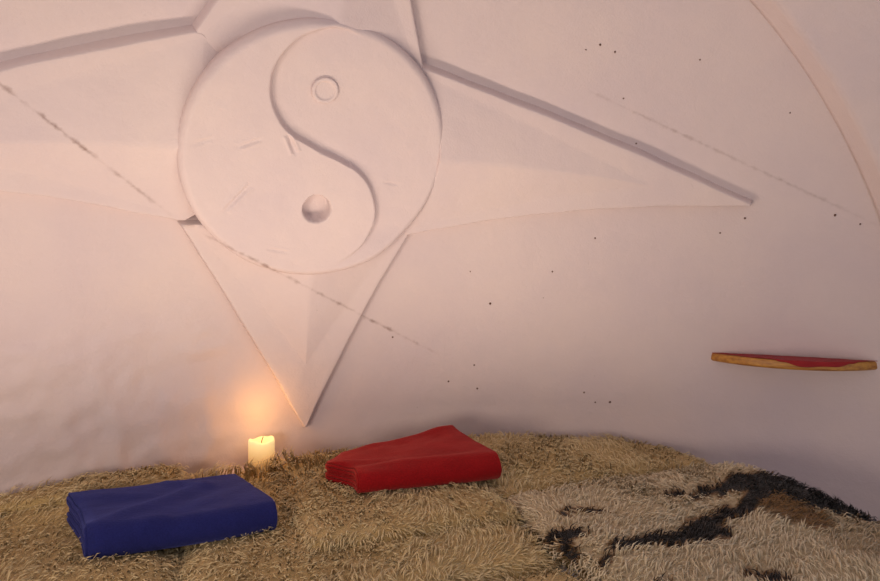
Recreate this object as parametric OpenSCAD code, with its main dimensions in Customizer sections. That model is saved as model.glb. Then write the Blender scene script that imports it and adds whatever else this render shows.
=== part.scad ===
// Sleeping alcove of an igloo: an arched niche of the snow dome with a raised star and a
// round two-part sign on its wall, and a snow bench bed with sheepskins and two folded blankets.
// Millimetres. +Y runs from the open front into the alcove, +X to the right, +Z up.
// The dome's centre line is the common datum: every wall, arch and relief radius starts there.

/* [Dome] */
// Inner radius of the alcove wall
room_r = 2500; // [2350:10:2700]
// Height of the dome's centre above the floor; the wall is upright below it
spring_h = 500; // [450:10:600]
// Thickness of the snow wall at the floor
wall_t = 400; // [300:10:600]
// How far the outer dome's centre sits below the inner one, which thins the crown
outer_drop = 100; // [40:10:150]
// Distance from the dome's centre to the edge of the arch
arch_y = 1510; // [1450:10:1570]
// Distance from the dome's centre to the open front of the arch band
front_y = 1000; // [850:10:1100]
// How far the arch band stands in from the alcove wall
arch_step = 60; // [40:5:90]
// Depth of the slope by which the arch band runs out to the alcove wall
arch_slope_d = 80; // [50:5:110]

/* [Star] */
// Height of the star's centre above the dome's centre, as an angle
star_lift = 28.2; // [27:0.2:29]
// Turn of the star's centre to the left, as an angle
star_turn = 1.2; // [0:0.2:2]
// How far the flat star stands out from the wall
star_h = 45; // [30:1:60]
// How far each arm's ridge stands out from the flat star beside the sign
ridge_h = 60; // [40:1:75]
// Reach of a ridge, as a share of its arm
ridge_share = 0.77; // [0.65:0.01:0.85]
// Reach of the lowest arm
arm_down = 1080; // [950:10:1120]
// Reach of the right arm
arm_right = 1600; // [1400:10:1700]
// Reach of the left arm
arm_left = 1540; // [1400:10:1700]
// Distance that the tips of the two upper arms keep below the arch
arm_gap = 110; // [60:5:180]

/* [Sign] */
// Radius of the round sign
sign_r = 440; // [400:1:444]
// How far the sign's raised half stands out from the wall
sign_h = 122; // [112:1:140]
// Depth of the sign's lower half below the raised one
sign_step = 32; // [20:1:40]
// Width of the slope round the sign's edge
sign_bevel = 26; // [15:1:35]
// Radius of the round hole in the raised half
eye_hole_r = 47; // [35:1:60]
// Depth of that hole
eye_hole_depth = 50; // [30:1:60]
// Radius of the round boss on the lower half
eye_boss_r = 43; // [35:1:60]
// How far the boss stands out from the lower half
eye_boss_h = 16; // [10:1:25]
// Width of the groove inside the boss's edge
eye_ring = 12; // [8:1:16]

/* [Bed] */
// Width of the snow bench
bench_w = 2860; // [2600:20:3000]
// Height of the snow bench
bench_h = 470; // [400:10:480]
// Distance from the dome's centre to the front of the bench
bench_front = 500; // [400:10:700]
// Gap between neighbouring hides
hide_gap = 16; // [10:1:40]
// Thickness of a hide with its wool pressed down
hide_t = 38; // [30:1:45]
// Thickness of the hides that lie on top of others
top_hide_t = 30; // [20:1:40]
// Distance from the dome's centre to the seam between the rear and the front hides
hide_seam_y = 1400; // [1350:10:1450]
// Near edge of the top hide under the red blanket, from the dome's centre
top_middle_near = 1640; // [1600:10:1720]
// Near edge of the patched hide
top_patched_near = 900; // [800:10:1000]
// Seam between the patched hide and the one heaped up behind it
top_seam_y = 1828; // [1780:4:1900]
// Clearance between the blue blanket and the hides beside it
blanket_clear = 12; // [8:1:20]

/* [Blankets] */
// Width of the folded blue blanket
blue_w = 590; // [500:10:600]
// Depth of the folded blue blanket
blue_d = 390; // [340:10:400]
// Height of the folded blue blanket
blue_h = 105; // [80:1:125]
// Place of the blue blanket's middle to the left of the centre line
blue_x = -500; // [-520:5:-470]
// Distance from the dome's centre to the blue blanket's middle
blue_y = 1950; // [1900:5:1960]
// Turn of the blue blanket
blue_turn = 4; // [0:1:8]
// Width of the folded red blanket
red_w = 500; // [420:10:510]
// Depth of the folded red blanket
red_d = 380; // [320:10:400]
// Height of the folded red blanket
red_h = 110; // [90:1:130]
// Place of the red blanket's middle to the right of the centre line
red_x = 285; // [270:5:290]
// Distance from the dome's centre to the red blanket's middle
red_y = 2105; // [2090:5:2115]
// Turn of the red blanket
red_turn = 3; // [0:1:5]
// Radius of the blankets' rounded corners
blanket_r = 45; // [25:1:50]

/* [Candle] */
// Diameter of the pillar candle
candle_d = 95; // [70:1:110]
// Height of the pillar candle
candle_h = 115; // [90:1:130]
// Radius of the worn shoulder of the candle
candle_edge = 14; // [8:1:18]
// Radius of the pool burnt into the candle's top
pool_r = 30; // [20:1:33]
// Depth of that pool
pool_depth = 16; // [8:1:24]
// Diameter of the wick
wick_d = 4; // [3:0.5:6]
// Length of the wick above the bottom of the pool
wick_h = 20; // [12:1:30]
// Width of the snow ledge under the candle
ledge_w = 300; // [220:10:340]
// Depth of that ledge in front of the wall
ledge_d = 150; // [130:5:170]
// Height of that ledge above the bench
ledge_h = 48; // [40:1:60]

/* [Shelf] */
// Diameter of the round that the board's front edge follows
board_d = 780; // [740:10:820]
// Thickness of the board
board_t = 32; // [24:1:45]
// Height of the board's underside above the floor
board_z = 885; // [820:5:950]
// Direction of the board to the right of the alcove's centre line, as an angle
board_turn = 43.1; // [42.1:0.1:44.1]
// How far the board's front stands out from the wall
board_out = 130; // [110:5:150]
// How far the board's straight back is sunk into the wall
board_sunk = 140; // [100:5:160]
// Play above and round the board in its slot
slot_fit = 0.3; // [0.2:0.1:2]
// Thickness of the cloth on the board
cloth_t = 3; // [2:0.5:5]
// Drop of the cloth over the board's front edge
cloth_drop = 20; // [10:1:30]

/* [Hidden] */

$fn = 360;
outer_r = room_r + wall_t;
mid_y = (bench_front + outer_r) / 2;
hide_z = bench_h + hide_t;
snow = [0.90, 0.87, 0.87];

// Seams of the wall: each gore runs from one angle to the next, to the right of the centre line
gore_ends = [-64, -33, -11, 11, 31, 64];
// Cuts between the parts of the arch above its feet, as angles round the arch from the right.
// The first and last lie below the springing, where those parts end anyway.
arch_cuts = [-10, 62, 118, 190];

// Where the arms of the star meet, going round from the left of the lowest arm.
// The star was cut by eye: [reach, angle] of each inner corner differs a little.
notch = [[510, 210], [478, 321], [456, 404], [456, 446], [520, 498]];
arm_dir = [271, 362, 425, 472, 538];
// Distance along the wall from the star's centre to the arch, in one direction
function to_arch(a) = let (u = cos(star_lift), v = sin(a) * sin(star_lift))
    room_r * PI / 180 * (acos(arch_y / room_r / sqrt(u * u + v * v)) - atan2(v, u));
arm_len = [arm_down, arm_right, to_arch(arm_dir[2]) - arm_gap,
    to_arch(arm_dir[3]) - arm_gap, arm_left];

// The alcove's frame stands with its centre line at y = 0; the part's origin is the middle
// of its footprint, so everything is moved forward by the same amount.
module place() translate([0, -mid_y, 0]) children();

// ---- Dome ----

// Half section of the dome's wall: radius to the right, height up
module wall_section(rin) {
    // the axis itself is left out, because no piece comes near it
    difference() {
        union() {
            intersection() {
                translate([0, spring_h - outer_drop]) circle(r = outer_r);
                translate([front_y / 2, spring_h - outer_drop]) square(outer_r * 2);
            }
            translate([front_y / 2, 0])
                square([outer_r - front_y / 2, spring_h - outer_drop]);
        }
        intersection() {
            translate([0, spring_h]) circle(r = rin);
            translate([0, spring_h]) square(rin * 2);
        }
        translate([0, -1]) square([rin, spring_h + 1]);
    }
}

// Turns a half section about the dome's upright axis, between two angles right of +Y
module turn_between(a1, a2)
    rotate([0, 0, 90 - a2]) rotate_extrude(angle = a2 - a1) children();

module wall_gore(i) {
    intersection() {
        turn_between(gore_ends[i], gore_ends[i + 1]) wall_section(room_r);
        translate([-outer_r * 2, arch_y, -1]) cube([outer_r * 4, outer_r * 2, outer_r * 2]);
    }
}

// The band's inner face slopes out to the alcove wall without a step: round the arch the slope
// is a cone about the level axis, and below the springing it is an upright plane.
arch_wide = sqrt(pow(room_r, 2) - pow(arch_y, 2));
arch_near = sqrt(pow(room_r - arch_step, 2) - pow(arch_y - arch_slope_d, 2));
arch_lean = (arch_wide - arch_near) / arch_slope_d;
slope_run = arch_slope_d + 31;
module arch_slope() {
    translate([0, arch_y + 1, spring_h]) rotate([90, 0, 0])
        cylinder(h = slope_run, r1 = arch_wide + arch_lean,
            r2 = arch_wide + arch_lean * (1 - slope_run));
}
module foot_slope() {
    y0 = arch_y + 1;
    x0 = arch_wide + arch_lean;
    x1 = x0 - arch_lean * slope_run;
    for (side = [-1, 1]) translate([0, 0, -1]) linear_extrude(spring_h + 2)
        polygon([[side * x0, y0], [side * x1, y0 - slope_run],
            [side * (x1 - 300), y0 - slope_run], [side * (x1 - 300), y0]]);
}

module arch_upper(i) {
    far = outer_r * 3;
    difference() {
        intersection() {
            turn_between(-76, 76) intersection() {
                wall_section(room_r - arch_step);
                translate([0, spring_h]) square(outer_r * 2);
            }
            translate([0, arch_y, spring_h]) rotate([90, 0, 0])
                linear_extrude(arch_y - front_y)
                    polygon([[0, 0],
                        far * [cos(arch_cuts[i]), sin(arch_cuts[i])],
                        far * [cos(arch_cuts[i + 1]), sin(arch_cuts[i + 1])]]);
        }
        arch_slope();
    }
}

module arch_foot(side) {
    difference() {
        intersection() {
            turn_between(-76, 76) intersection() {
                wall_section(room_r - arch_step);
                square([outer_r * 2, spring_h]);
            }
            translate([side > 0 ? 0 : -outer_r * 2, front_y, -1])
                cube([outer_r * 2, arch_y - front_y, spring_h + 2]);
        }
        foot_slope();
    }
}

// ---- Star ----

// The star is drawn on the dome's inner face as on a map: p is [across, up] in millimetres
// along the wall from the star's centre, and rr is the distance from the dome's centre.
function on_dome(p, rr) =
    let (s = norm(p), t = s / room_r * 180 / PI, a = atan2(p[1], p[0]))
        rr * [sin(t) * cos(a), cos(t), sin(t) * sin(a)];
function polar(s, a) = s * [cos(a), sin(a)];
function blend(p, q, k) = p + (q - p) * k;

module star_frame() translate([0, 0, spring_h]) rotate([star_lift, 0, star_turn]) children();

// Everything within one arm's outline: a four-sided pyramid from the dome's centre
module arm_pyramid(i) {
    far = room_r * 1.3;
    a = notch[i];
    b = notch[(i + 1) % 5];
    pts = [[0, 0, 0], on_dome([0, 0], far), on_dome(polar(a[0], a[1]), far),
        on_dome(polar(arm_len[i], arm_dir[i]), far), on_dome(polar(b[0], b[1]), far)];
    polyhedron(pts, [[1, 2, 3], [1, 3, 4], [0, 2, 1], [0, 3, 2], [0, 4, 3], [0, 1, 4]]);
}

// The ridged inner star on one arm, as a row of five-sided sections that shrink to the tip
module arm_ridge(i, steps = 7) {
    tip = polar(arm_len[i] * ridge_share, arm_dir[i]);
    u = polar(1, arm_dir[i]);
    a0 = polar(notch[i][0] * 0.98, notch[i][1]);
    b0 = polar(notch[(i + 1) % 5][0] * 0.98, notch[(i + 1) % 5][1]);
    mid = u * ((a0 * u) + (b0 * u)) / 2;
    a = blend(a0, mid, 0.03);
    b = blend(b0, mid, 0.03);
    r0 = room_r - star_h;
    run = norm(tip) - sign_r;
    function high(p) = max(0.6, ridge_h * (norm(tip) - norm(p)) / run);
    function row(l, m, r) = [
        on_dome(r, r0 + star_h / 2), on_dome(r, r0 + 4), on_dome(m, r0 - high(m)),
        on_dome(l, r0 + 4), on_dome(l, r0 + star_h / 2)];
    rows = concat(
        [row(a * 0.72, mid * 0.72, b * 0.72)],
        [for (k = [0:steps]) let (q = 0.985 * k / steps)
            row(blend(a, tip, q), blend(mid, tip, q), blend(b, tip, q))]);
    n = len(rows);
    pts = [for (w = rows) for (p = w) p];
    polyhedron(pts, concat(
        [[0, 1, 2], [0, 2, 3], [0, 3, 4]],
        [[5 * n - 5, 5 * n - 3, 5 * n - 4], [5 * n - 5, 5 * n - 2, 5 * n - 3],
            [5 * n - 5, 5 * n - 1, 5 * n - 2]],
        [for (k = [0:n - 2]) for (j = [0:4]) let (c = 5 * k + j, d = 5 * k + (j + 1) % 5)
            [c, c + 5, d]],
        [for (k = [0:n - 2]) for (j = [0:4]) let (c = 5 * k + j, d = 5 * k + (j + 1) % 5)
            [d, c + 5, d + 5]]));
}

// A ring of the flat star's thickness on the dome's inner face, open where the sign stands
module star_ring() {
    rotate([90, 0, 0]) rotate_extrude() intersection() {
        difference() {
            circle(r = room_r);
            circle(r = room_r - star_h);
        }
        translate([sign_r, -room_r * 1.2]) square([room_r * 0.75, room_r]);
    }
}

// The ridges end a hair outside the sign's edge, on flats that follow it
module sign_bore() translate([0, room_r + 40, 0]) rotate([90, 0, 0]) linear_extrude(room_r / 5)
    polygon([for (t = [1.5:3:360]) (sign_r + 1.5) * [cos(t), sin(t)]]);

module star_arm(i) {
    star_frame() {
        intersection() {
            arm_pyramid(i);
            star_ring();
        }
        difference() {
            arm_ridge(i);
            sign_bore();
        }
    }
}

// ---- Sign ----

// A round plug on the star's axis, reaching from outside the wall towards the dome's centre;
// r is its radius, and it narrows to the end from r_edge when the edge is sloped.
sign_edge_y = sqrt(pow(room_r - sign_h, 2) - pow(sign_r, 2));
module sign_core(r, r_edge) {
    rotate([90, 0, 0]) rotate_extrude() polygon([
        [0, -room_r - 40], [r, -room_r - 40], [r, -sign_edge_y - (r - r_edge) * 1.1],
        [r_edge, -sign_edge_y], [r_edge - (r - r_edge) * 3, -sign_edge_y + (r - r_edge) * 3.3 + 90],
        [0, -sign_edge_y + (r - r_edge) * 3.3 + 90]]);
}

// Outline of the lower, right-hand half: down the S-shaped line and round outside the sign
head_r = sign_r * 0.482;
function s_line() = concat(
    [[0, sign_r * 1.2]],
    [for (t = [90:6:270]) [0, head_r] + head_r * [cos(t), sin(t)]],
    [for (t = [84:-6:-90]) [0, -head_r] + head_r * [cos(t), sin(t)]],
    [[0, -sign_r * 1.2], [sign_r * 1.2, -sign_r * 1.2], [sign_r * 1.2, sign_r * 1.2]]);

module from_wall(depth) translate([0, room_r + 40, 0]) rotate([90, 0, 0])
    linear_extrude(depth) children();

module sign_disc() {
    color([0.88, 0.84, 0.83]) place() star_frame() difference() {
        intersection() {
            sign_core(sign_r, sign_r - sign_bevel);
            sphere(r = room_r);
        }
        sphere(r = room_r - sign_h);
        intersection() {
            from_wall(room_r / 2) polygon(s_line());
            sphere(r = room_r - sign_h + sign_step);
        }
        translate([0, room_r - sign_h + eye_hole_depth, -head_r]) rotate([90, 0, 0])
            cylinder(r = eye_hole_r, h = eye_hole_depth * 3);
    }
}

module sign_boss() {
    face_r = room_r - sign_h + sign_step;
    color([0.90, 0.86, 0.85]) place() star_frame() difference() {
        intersection() {
            translate([0, room_r, head_r]) rotate([90, 0, 0])
                cylinder(r = eye_boss_r, h = sign_h * 2);
            sphere(r = face_r);
        }
        sphere(r = face_r - eye_boss_h);
        translate([0, face_r - eye_boss_h / 2, head_r]) rotate([90, 0, 0])
            cylinder(r = eye_boss_r - eye_ring, h = sign_h);
    }
}

// ---- Bed ----

module bench_part(i) {
    w = bench_w / 3;
    intersection() {
        translate([-bench_w / 2 + i * w, bench_front, 0])
            cube([w, room_r - bench_front + 10, bench_h]);
        translate([0, 0, -1]) cylinder(r = room_r, h = bench_h + 2);
    }
}

ledge_x = -200;
ledge_front = sqrt(pow(room_r, 2) - pow(ledge_x, 2)) - ledge_d;
module candle_ledge() {
    color(snow) place() intersection() {
        translate([ledge_x - ledge_w / 2, ledge_front, bench_h])
            cube([ledge_w, ledge_d * 2, ledge_h]);
        translate([0, 0, bench_h - 1]) cylinder(r = room_r - 0.5, h = ledge_h + 2);
    }
}

// Outline of a sheepskin: a rounded box of half sizes p and q with a wavy edge that only
// cuts inward, so that the hide stays in its place between its neighbours
module hide_outline(p, q, waves, deep, turn) {
    function r(t) = pow(pow(abs(cos(t)) / p, 6) + pow(abs(sin(t)) / q, 6), -1 / 6);
    polygon([for (t = [0:5:355])
        r(t) * (1 - deep * (0.5 + 0.5 * sin(waves * t + turn))) * [cos(t), sin(t)]]);
}

// A hide that fills the box between two corners of the bed's plan
module hide(x1, x2, y1, y2, z, t, waves, deep, turn) {
    g = hide_gap / 2;
    difference() {
        intersection() {
            translate([(x1 + x2) / 2, (y1 + y2) / 2, z]) linear_extrude(t)
                hide_outline((x2 - x1) / 2 - g, (y2 - y1) / 2 - g, waves, deep, turn);
            translate([0, 0, z - 1]) cylinder(r = room_r - 12, h = t + 2);
        }
        translate([ledge_x - ledge_w / 2 - 4, ledge_front - 4, bench_h - 1])
            cube([ledge_w + 8, ledge_d * 3, ledge_h * 2]);
    }
}

third = bench_w / 6;
edge = bench_w / 2 - 8;
cream = [0.86, 0.79, 0.64];
// The hides on top keep clear of the blue blanket, which lies between them
blue_right = blue_x + blue_w / 2 * cos(blue_turn) + blue_d / 2 * sin(blue_turn);
blue_back = blue_y + blue_d / 2 * cos(blue_turn) + blue_w / 2 * sin(blue_turn);
module rear_hide(x1, x2, waves, turn)
    hide(x1, x2, hide_seam_y, room_r, bench_h, hide_t, waves, 0.05, turn);
module front_hide(x1, x2, waves, turn)
    hide(x1, x2, bench_front + 6, hide_seam_y, bench_h, hide_t, waves, 0.05, turn);

// ---- Blankets ----

// A blanket folded flat: a plan with round corners, and a round fold along the front
module folded(w, d, h) {
    rr = min(blanket_r, h / 2 - 1);
    intersection() {
        translate([-w / 2, 0, 0]) rotate([90, 0, 90]) linear_extrude(w) union() {
            translate([-d / 2 + h / 2, h / 2]) circle(d = h);
            translate([-d / 2 + h / 2, 0]) square([d - h / 2 - rr, h]);
            translate([d / 2 - rr - 1, 0]) square([rr + 1, h - rr]);
            translate([d / 2 - rr, h - rr]) circle(r = rr);
        }
        union() {
            translate([-w / 2 + rr, -d, -1]) cube([w - 2 * rr, d * 2, h + 2]);
            translate([-w / 2, -d / 2 + rr, -1]) cube([w, d - 2 * rr, h + 2]);
            for (sx = [-1, 1]) for (sy = [-1, 1])
                translate([sx * (w / 2 - rr), sy * (d / 2 - rr), -1])
                    cylinder(r = rr, h = h + 2);
        }
    }
}

// ---- Shelf ----

// The wall's inner radius at the height of the board's top, and the middle of its round
wall_at_board = sqrt(pow(room_r, 2) - pow(board_z + board_t - spring_h, 2));
board_reach = wall_at_board - board_out + board_d / 2;
board_back = wall_at_board + board_sunk - board_reach;
module at_board() rotate([0, 0, -board_turn]) translate([0, board_reach, board_z]) children();

// The board: a round with a straight back, which is sunk into the wall; fit is the play round it
module board_shape(fit) intersection() {
    cylinder(r = board_d / 2 + fit, h = board_t + fit);
    translate([-board_d, -board_d, -1])
        cube([board_d * 2, board_d + board_back + fit, board_t + fit + 2]);
}

// ---- Pieces ----

module wall_far_left() color(snow) place() wall_gore(0);
module wall_left() color(snow) place() wall_gore(1);
module wall_middle() color(snow) place() wall_gore(2);
module wall_right() color(snow) place() wall_gore(3);
module wall_far_right() color(snow) place() difference() {
    wall_gore(4);
    at_board() board_shape(slot_fit);
}

module arch_right_foot() color(snow) place() arch_foot(1);
module arch_right_haunch() color(snow) place() arch_upper(0);
module arch_crown() color(snow) place() arch_upper(1);
module arch_left_haunch() color(snow) place() arch_upper(2);
module arch_left_foot() color(snow) place() arch_foot(-1);

module star_arm_down() color(snow) place() star_arm(0);
module star_arm_right() color(snow) place() star_arm(1);
module star_arm_upper_right() color(snow) place() star_arm(2);
module star_arm_upper_left() color(snow) place() star_arm(3);
module star_arm_left() color(snow) place() star_arm(4);

module bench_left() color(snow) place() bench_part(0);
module bench_middle() color(snow) place() bench_part(1);
module bench_right() color(snow) place() bench_part(2);

module hide_rear_left() color(cream) place() rear_hide(-edge, -third, 5, 0);
module hide_rear_middle() color(cream) place() rear_hide(-third, third, 6, 40);
module hide_rear_right() color(cream) place() rear_hide(third, edge, 5, 90);
module hide_front_left() color(cream) place() front_hide(-edge, -third, 6, 20);
module hide_front_middle() color(cream) place() front_hide(-third, third, 5, 120);
module hide_front_right() color(cream) place() front_hide(third, edge, 6, 200);
// The hides that lie on top share one height and one thickness
module top_hide(x1, x2, y1, y2, waves, deep, turn)
    hide(x1, x2, y1, y2, hide_z, top_hide_t, waves, deep, turn);
module hide_top_left() color([0.86, 0.78, 0.62]) place()
    top_hide(60 - edge, -third, blue_back + blanket_clear, room_r, 5, 0.04, 250);
module hide_top_middle() color([0.90, 0.84, 0.70]) place()
    top_hide(blue_right + blanket_clear + hide_gap, third, top_middle_near, room_r, 5, 0.05, 60);
module hide_top_right() color([0.88, 0.80, 0.64]) place()
    top_hide(third, edge - 60, top_seam_y, room_r, 5, 0.05, 150);
module hide_top_patched() color([0.88, 0.84, 0.78]) place()
    top_hide(third, edge, top_patched_near, top_seam_y, 6, 0.06, 10);

module blanket_blue() color([0.10, 0.13, 0.30]) place()
    translate([blue_x, blue_y, hide_z]) rotate([0, 0, blue_turn]) folded(blue_w, blue_d, blue_h);
module blanket_red() color([0.55, 0.08, 0.08]) place()
    translate([red_x, red_y, hide_z + top_hide_t]) rotate([0, 0, red_turn])
        folded(red_w, red_d, red_h);

candle_y = ledge_front + ledge_d / 2 - 12;
module at_candle() translate([ledge_x, candle_y, bench_h + ledge_h]) children();
module candle_wax() color([0.98, 0.90, 0.66]) place() at_candle() rotate_extrude()
    difference() {
        union() {
            square([candle_d / 2, candle_h - candle_edge]);
            square([candle_d / 2 - candle_edge, candle_h]);
            translate([candle_d / 2 - candle_edge, candle_h - candle_edge])
                circle(r = candle_edge);
        }
        translate([-candle_d, -1]) square([candle_d, candle_h * 2]);
        translate([-1, candle_h - pool_depth]) square([pool_r + 1, pool_depth * 2]);
    }
module candle_wick() color([0.12, 0.10, 0.08]) place() at_candle()
    translate([0, 0, candle_h - pool_depth]) cylinder(d = wick_d, h = wick_h);

module shelf_board() color([0.62, 0.42, 0.24]) place() at_board() board_shape(0);

// The cloth covers the bare part of the board, a little short of the wall, and hangs over the
// right half of its front edge, with a hair of play between the flap and the board
cloth_gap = 8;
flap_play = 0.3;
flap_set_in = 0.4;
module shelf_cloth() color([0.62, 0.06, 0.08]) place() {
    intersection() {
        at_board() translate([0, 0, board_t]) cylinder(r = board_d / 2 + cloth_t, h = cloth_t);
        cylinder(r = wall_at_board - cloth_gap, h = room_r);
    }
    at_board() translate([0, 0, board_t - cloth_drop]) rotate([0, 0, 262])
        rotate_extrude(angle = 36) translate([board_d / 2 + flap_play, 0])
            square([cloth_t - flap_play - flap_set_in, cloth_drop + 1]);
}

wall_far_left();
wall_left();
wall_middle();
wall_right();
wall_far_right();
arch_left_foot();
arch_left_haunch();
arch_crown();
arch_right_haunch();
arch_right_foot();
star_arm_down();
star_arm_right();
star_arm_upper_right();
star_arm_upper_left();
star_arm_left();
sign_disc();
sign_boss();
bench_left();
bench_middle();
bench_right();
candle_ledge();
hide_rear_left();
hide_rear_middle();
hide_rear_right();
hide_front_left();
hide_front_middle();
hide_front_right();
hide_top_left();
hide_top_middle();
hide_top_right();
hide_top_patched();
blanket_blue();
blanket_red();
candle_wax();
candle_wick();
shelf_board();
shelf_cloth();
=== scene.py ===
# %% [markdown]
# # The sleeping alcove of an igloo
# A snow dome was blown over a form, and one end of the room was kept as a bed: a bench of snow
# under sheepskins, with a star and a round two-part sign carved out of the wall behind it.
# The script loads the measured model, and then makes the surfaces that the measured solids
# leave plain: carved and rubbed snow, long wool, folded fleece, wax and pine.

# %% Load the measured model
import math
import bpy
import numpy as np
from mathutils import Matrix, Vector


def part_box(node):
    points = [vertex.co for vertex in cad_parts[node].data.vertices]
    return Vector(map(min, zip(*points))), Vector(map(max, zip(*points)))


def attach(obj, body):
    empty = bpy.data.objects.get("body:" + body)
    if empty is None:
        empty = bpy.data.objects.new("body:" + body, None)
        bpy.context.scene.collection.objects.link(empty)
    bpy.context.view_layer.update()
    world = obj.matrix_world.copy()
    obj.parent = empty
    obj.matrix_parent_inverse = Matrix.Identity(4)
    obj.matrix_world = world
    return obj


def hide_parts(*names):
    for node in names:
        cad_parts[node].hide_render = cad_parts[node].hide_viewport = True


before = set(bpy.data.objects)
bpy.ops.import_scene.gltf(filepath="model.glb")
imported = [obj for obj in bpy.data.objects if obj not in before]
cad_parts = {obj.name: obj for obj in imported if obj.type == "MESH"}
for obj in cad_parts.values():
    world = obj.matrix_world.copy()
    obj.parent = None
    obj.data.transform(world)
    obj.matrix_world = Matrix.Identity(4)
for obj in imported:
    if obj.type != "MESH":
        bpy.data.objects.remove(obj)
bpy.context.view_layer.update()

# %% [markdown]
# Every wall, arch and relief radius of the alcove starts at one point, the dome's centre. It
# stands half a metre above the floor, because the wall is upright below it. These are the same
# sizes as in the part's source, in metres.

# %% The dome's sizes
DOME = np.array([0.0, -1.7, 0.5])
# The room's radius, the outer dome's, and the height at which the outer one's centre stands
ROOM_R, OUTER_R, OUTER_UP = 2.5, 2.9, 0.4
# The arch band's back and front, its step into the room, its slope's depth, its rounded edges
ARCH_Y, FRONT_Y, ARCH_STEP, ARCH_SLOPE, ARCH_EDGE = 1.51, 1.0, 0.06, 0.08, 0.012
# The star's axis, up from level and to the left, and how far the star stands out
STAR_LIFT, STAR_TURN, STAR_H = math.radians(28.2), math.radians(1.2), 0.045
SIGN_R, SIGN_H = 0.44, 0.122
BENCH_X, BENCH_FRONT, BENCH_TOP = 1.43, -1.2, 0.47
print("the room is", 2 * ROOM_R, "m wide, and its crown stands", ROOM_R + DOME[2], "m high")

# %% [markdown]
# Snow, wool and fleece are never even, so every surface here gets some unevenness. Random
# values sit on the corners of a lattice, and between them they're blended smoothly. The table
# of values comes from a numbered seed, so each run makes the same snow.

# %% Unevenness and smooth steps
def cloudy(points, size, seed):
    """Smooth unevenness from -1 to 1 at each point: the eight lattice values round it, each
    weighed by a smooth step of the point's distance from it along x, y and z."""
    table = np.random.default_rng(seed).uniform(-1, 1, (32, 32, 32))
    cell = np.asarray(points) / size
    low = np.floor(cell).astype(int)
    part = cell - low
    part = part * part * (3 - 2 * part)
    total = 0
    for corner in np.ndindex(2, 2, 2):
        weight = np.prod(np.where(corner, part, 1 - part), axis=-1)
        i, j, k = np.moveaxis((low + corner) % 32, -1, 0)
        total = total + weight * table[i, j, k]
    return total


def step(x, start, end):
    """0 before start, 1 after end, and a smooth rise between them."""
    t = np.clip((np.asarray(x, float) - start) / (end - start), 0, 1)
    return t * t * (3 - 2 * t)


def near_line(x, y, start, end):
    """The share t of the way along a line at its point nearest to (x, y), and the distance."""
    a, way = np.array(start), np.array(end) - np.array(start)
    t = np.clip(((x - a[0]) * way[0] + (y - a[1]) * way[1]) / (way @ way), 0, 1)
    return t, np.hypot(x - a[0] - t * way[0], y - a[1] - t * way[1])


def unit(v):
    """Directions as vectors of length 1."""
    return v / np.linalg.norm(v, axis=-1, keepdims=True)


def circle(count):
    """Angles spaced evenly round a full turn."""
    return np.linspace(0, 2 * math.pi, count + 1)[:-1]


def ray(t):
    """Level directions at the angles t."""
    return np.stack([np.cos(t), np.sin(t)], -1)


def rounded_box(t, p, q, power):
    """How far a box of half sizes p and q with round corners reaches in the direction t:
    (|cos t / p| ^ power + |sin t / q| ^ power) ^ (-1 / power)."""
    return ((np.abs(np.cos(t)) / p) ** power + (np.abs(np.sin(t)) / q) ** power) ** (-1 / power)


print("unevenness at three points:", cloudy(np.eye(3) * 0.37, 0.1, 1).round(3))

# %% [markdown]
# A surface is a grid of points worked out as whole arrays, and its faces join neighbouring
# points. `put` hands such arrays to Blender. It also measures them: a closed surface uses each
# edge twice, and its volume is positive when its faces look outwards, so a surface that came
# out inside out is turned round there.

# %% From arrays to a mesh
def grid_faces(rows, cols, first=0, ring=False):
    """Quads between neighbouring points of a grid of rows by cols, or of rings if ring."""
    row = np.arange(rows - 1)[:, None]
    col = np.arange(cols if ring else cols - 1)[None, :]
    a = first + row * cols + col
    b = first + row * cols + (col + 1) % cols
    return np.stack([a, b, b + cols, a + cols], -1).reshape(-1, 4)


def tube(loops):
    """Points and faces of a tube through closed loops (rows x cols x 3). Each end is closed by
    triangles from its last loop to that loop's middle."""
    rows, cols, _ = loops.shape
    points = np.concatenate([loops.reshape(-1, 3), loops[[0, -1]].mean(1)])
    a = np.arange(cols)
    b = (a + 1) % cols
    end = (rows - 1) * cols
    caps = np.concatenate([
        np.stack([b, a, np.full(cols, rows * cols)], -1),
        np.stack([end + a, end + b, np.full(cols, rows * cols + 1)], -1)])
    return points, [grid_faces(rows, cols, ring=True), caps]


def measure(points, faces):
    """Open edges, and the volume: a sixth of the sum of each triangle's corner product."""
    tris = np.concatenate([f[:, [0, k, k + 1]] for f in faces for k in range(1, f.shape[1] - 1)])
    ends = np.concatenate([np.stack([f, np.roll(f, -1, 1)], -1).reshape(-1, 2) for f in faces])
    keys = np.sort(ends, 1) @ [len(points), 1]
    _, uses = np.unique(keys, return_counts=True)
    a, b, c = np.moveaxis(points[tris], 1, 0)
    return int((uses != 2).sum()), float((a * np.cross(b, c)).sum() / 6), len(tris)


def in_scene(name, data):
    """Makes an object of a mesh, a lamp or a camera, and puts it in the scene."""
    obj = bpy.data.objects.new(name, data)
    bpy.context.collection.objects.link(obj)
    return obj


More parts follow.
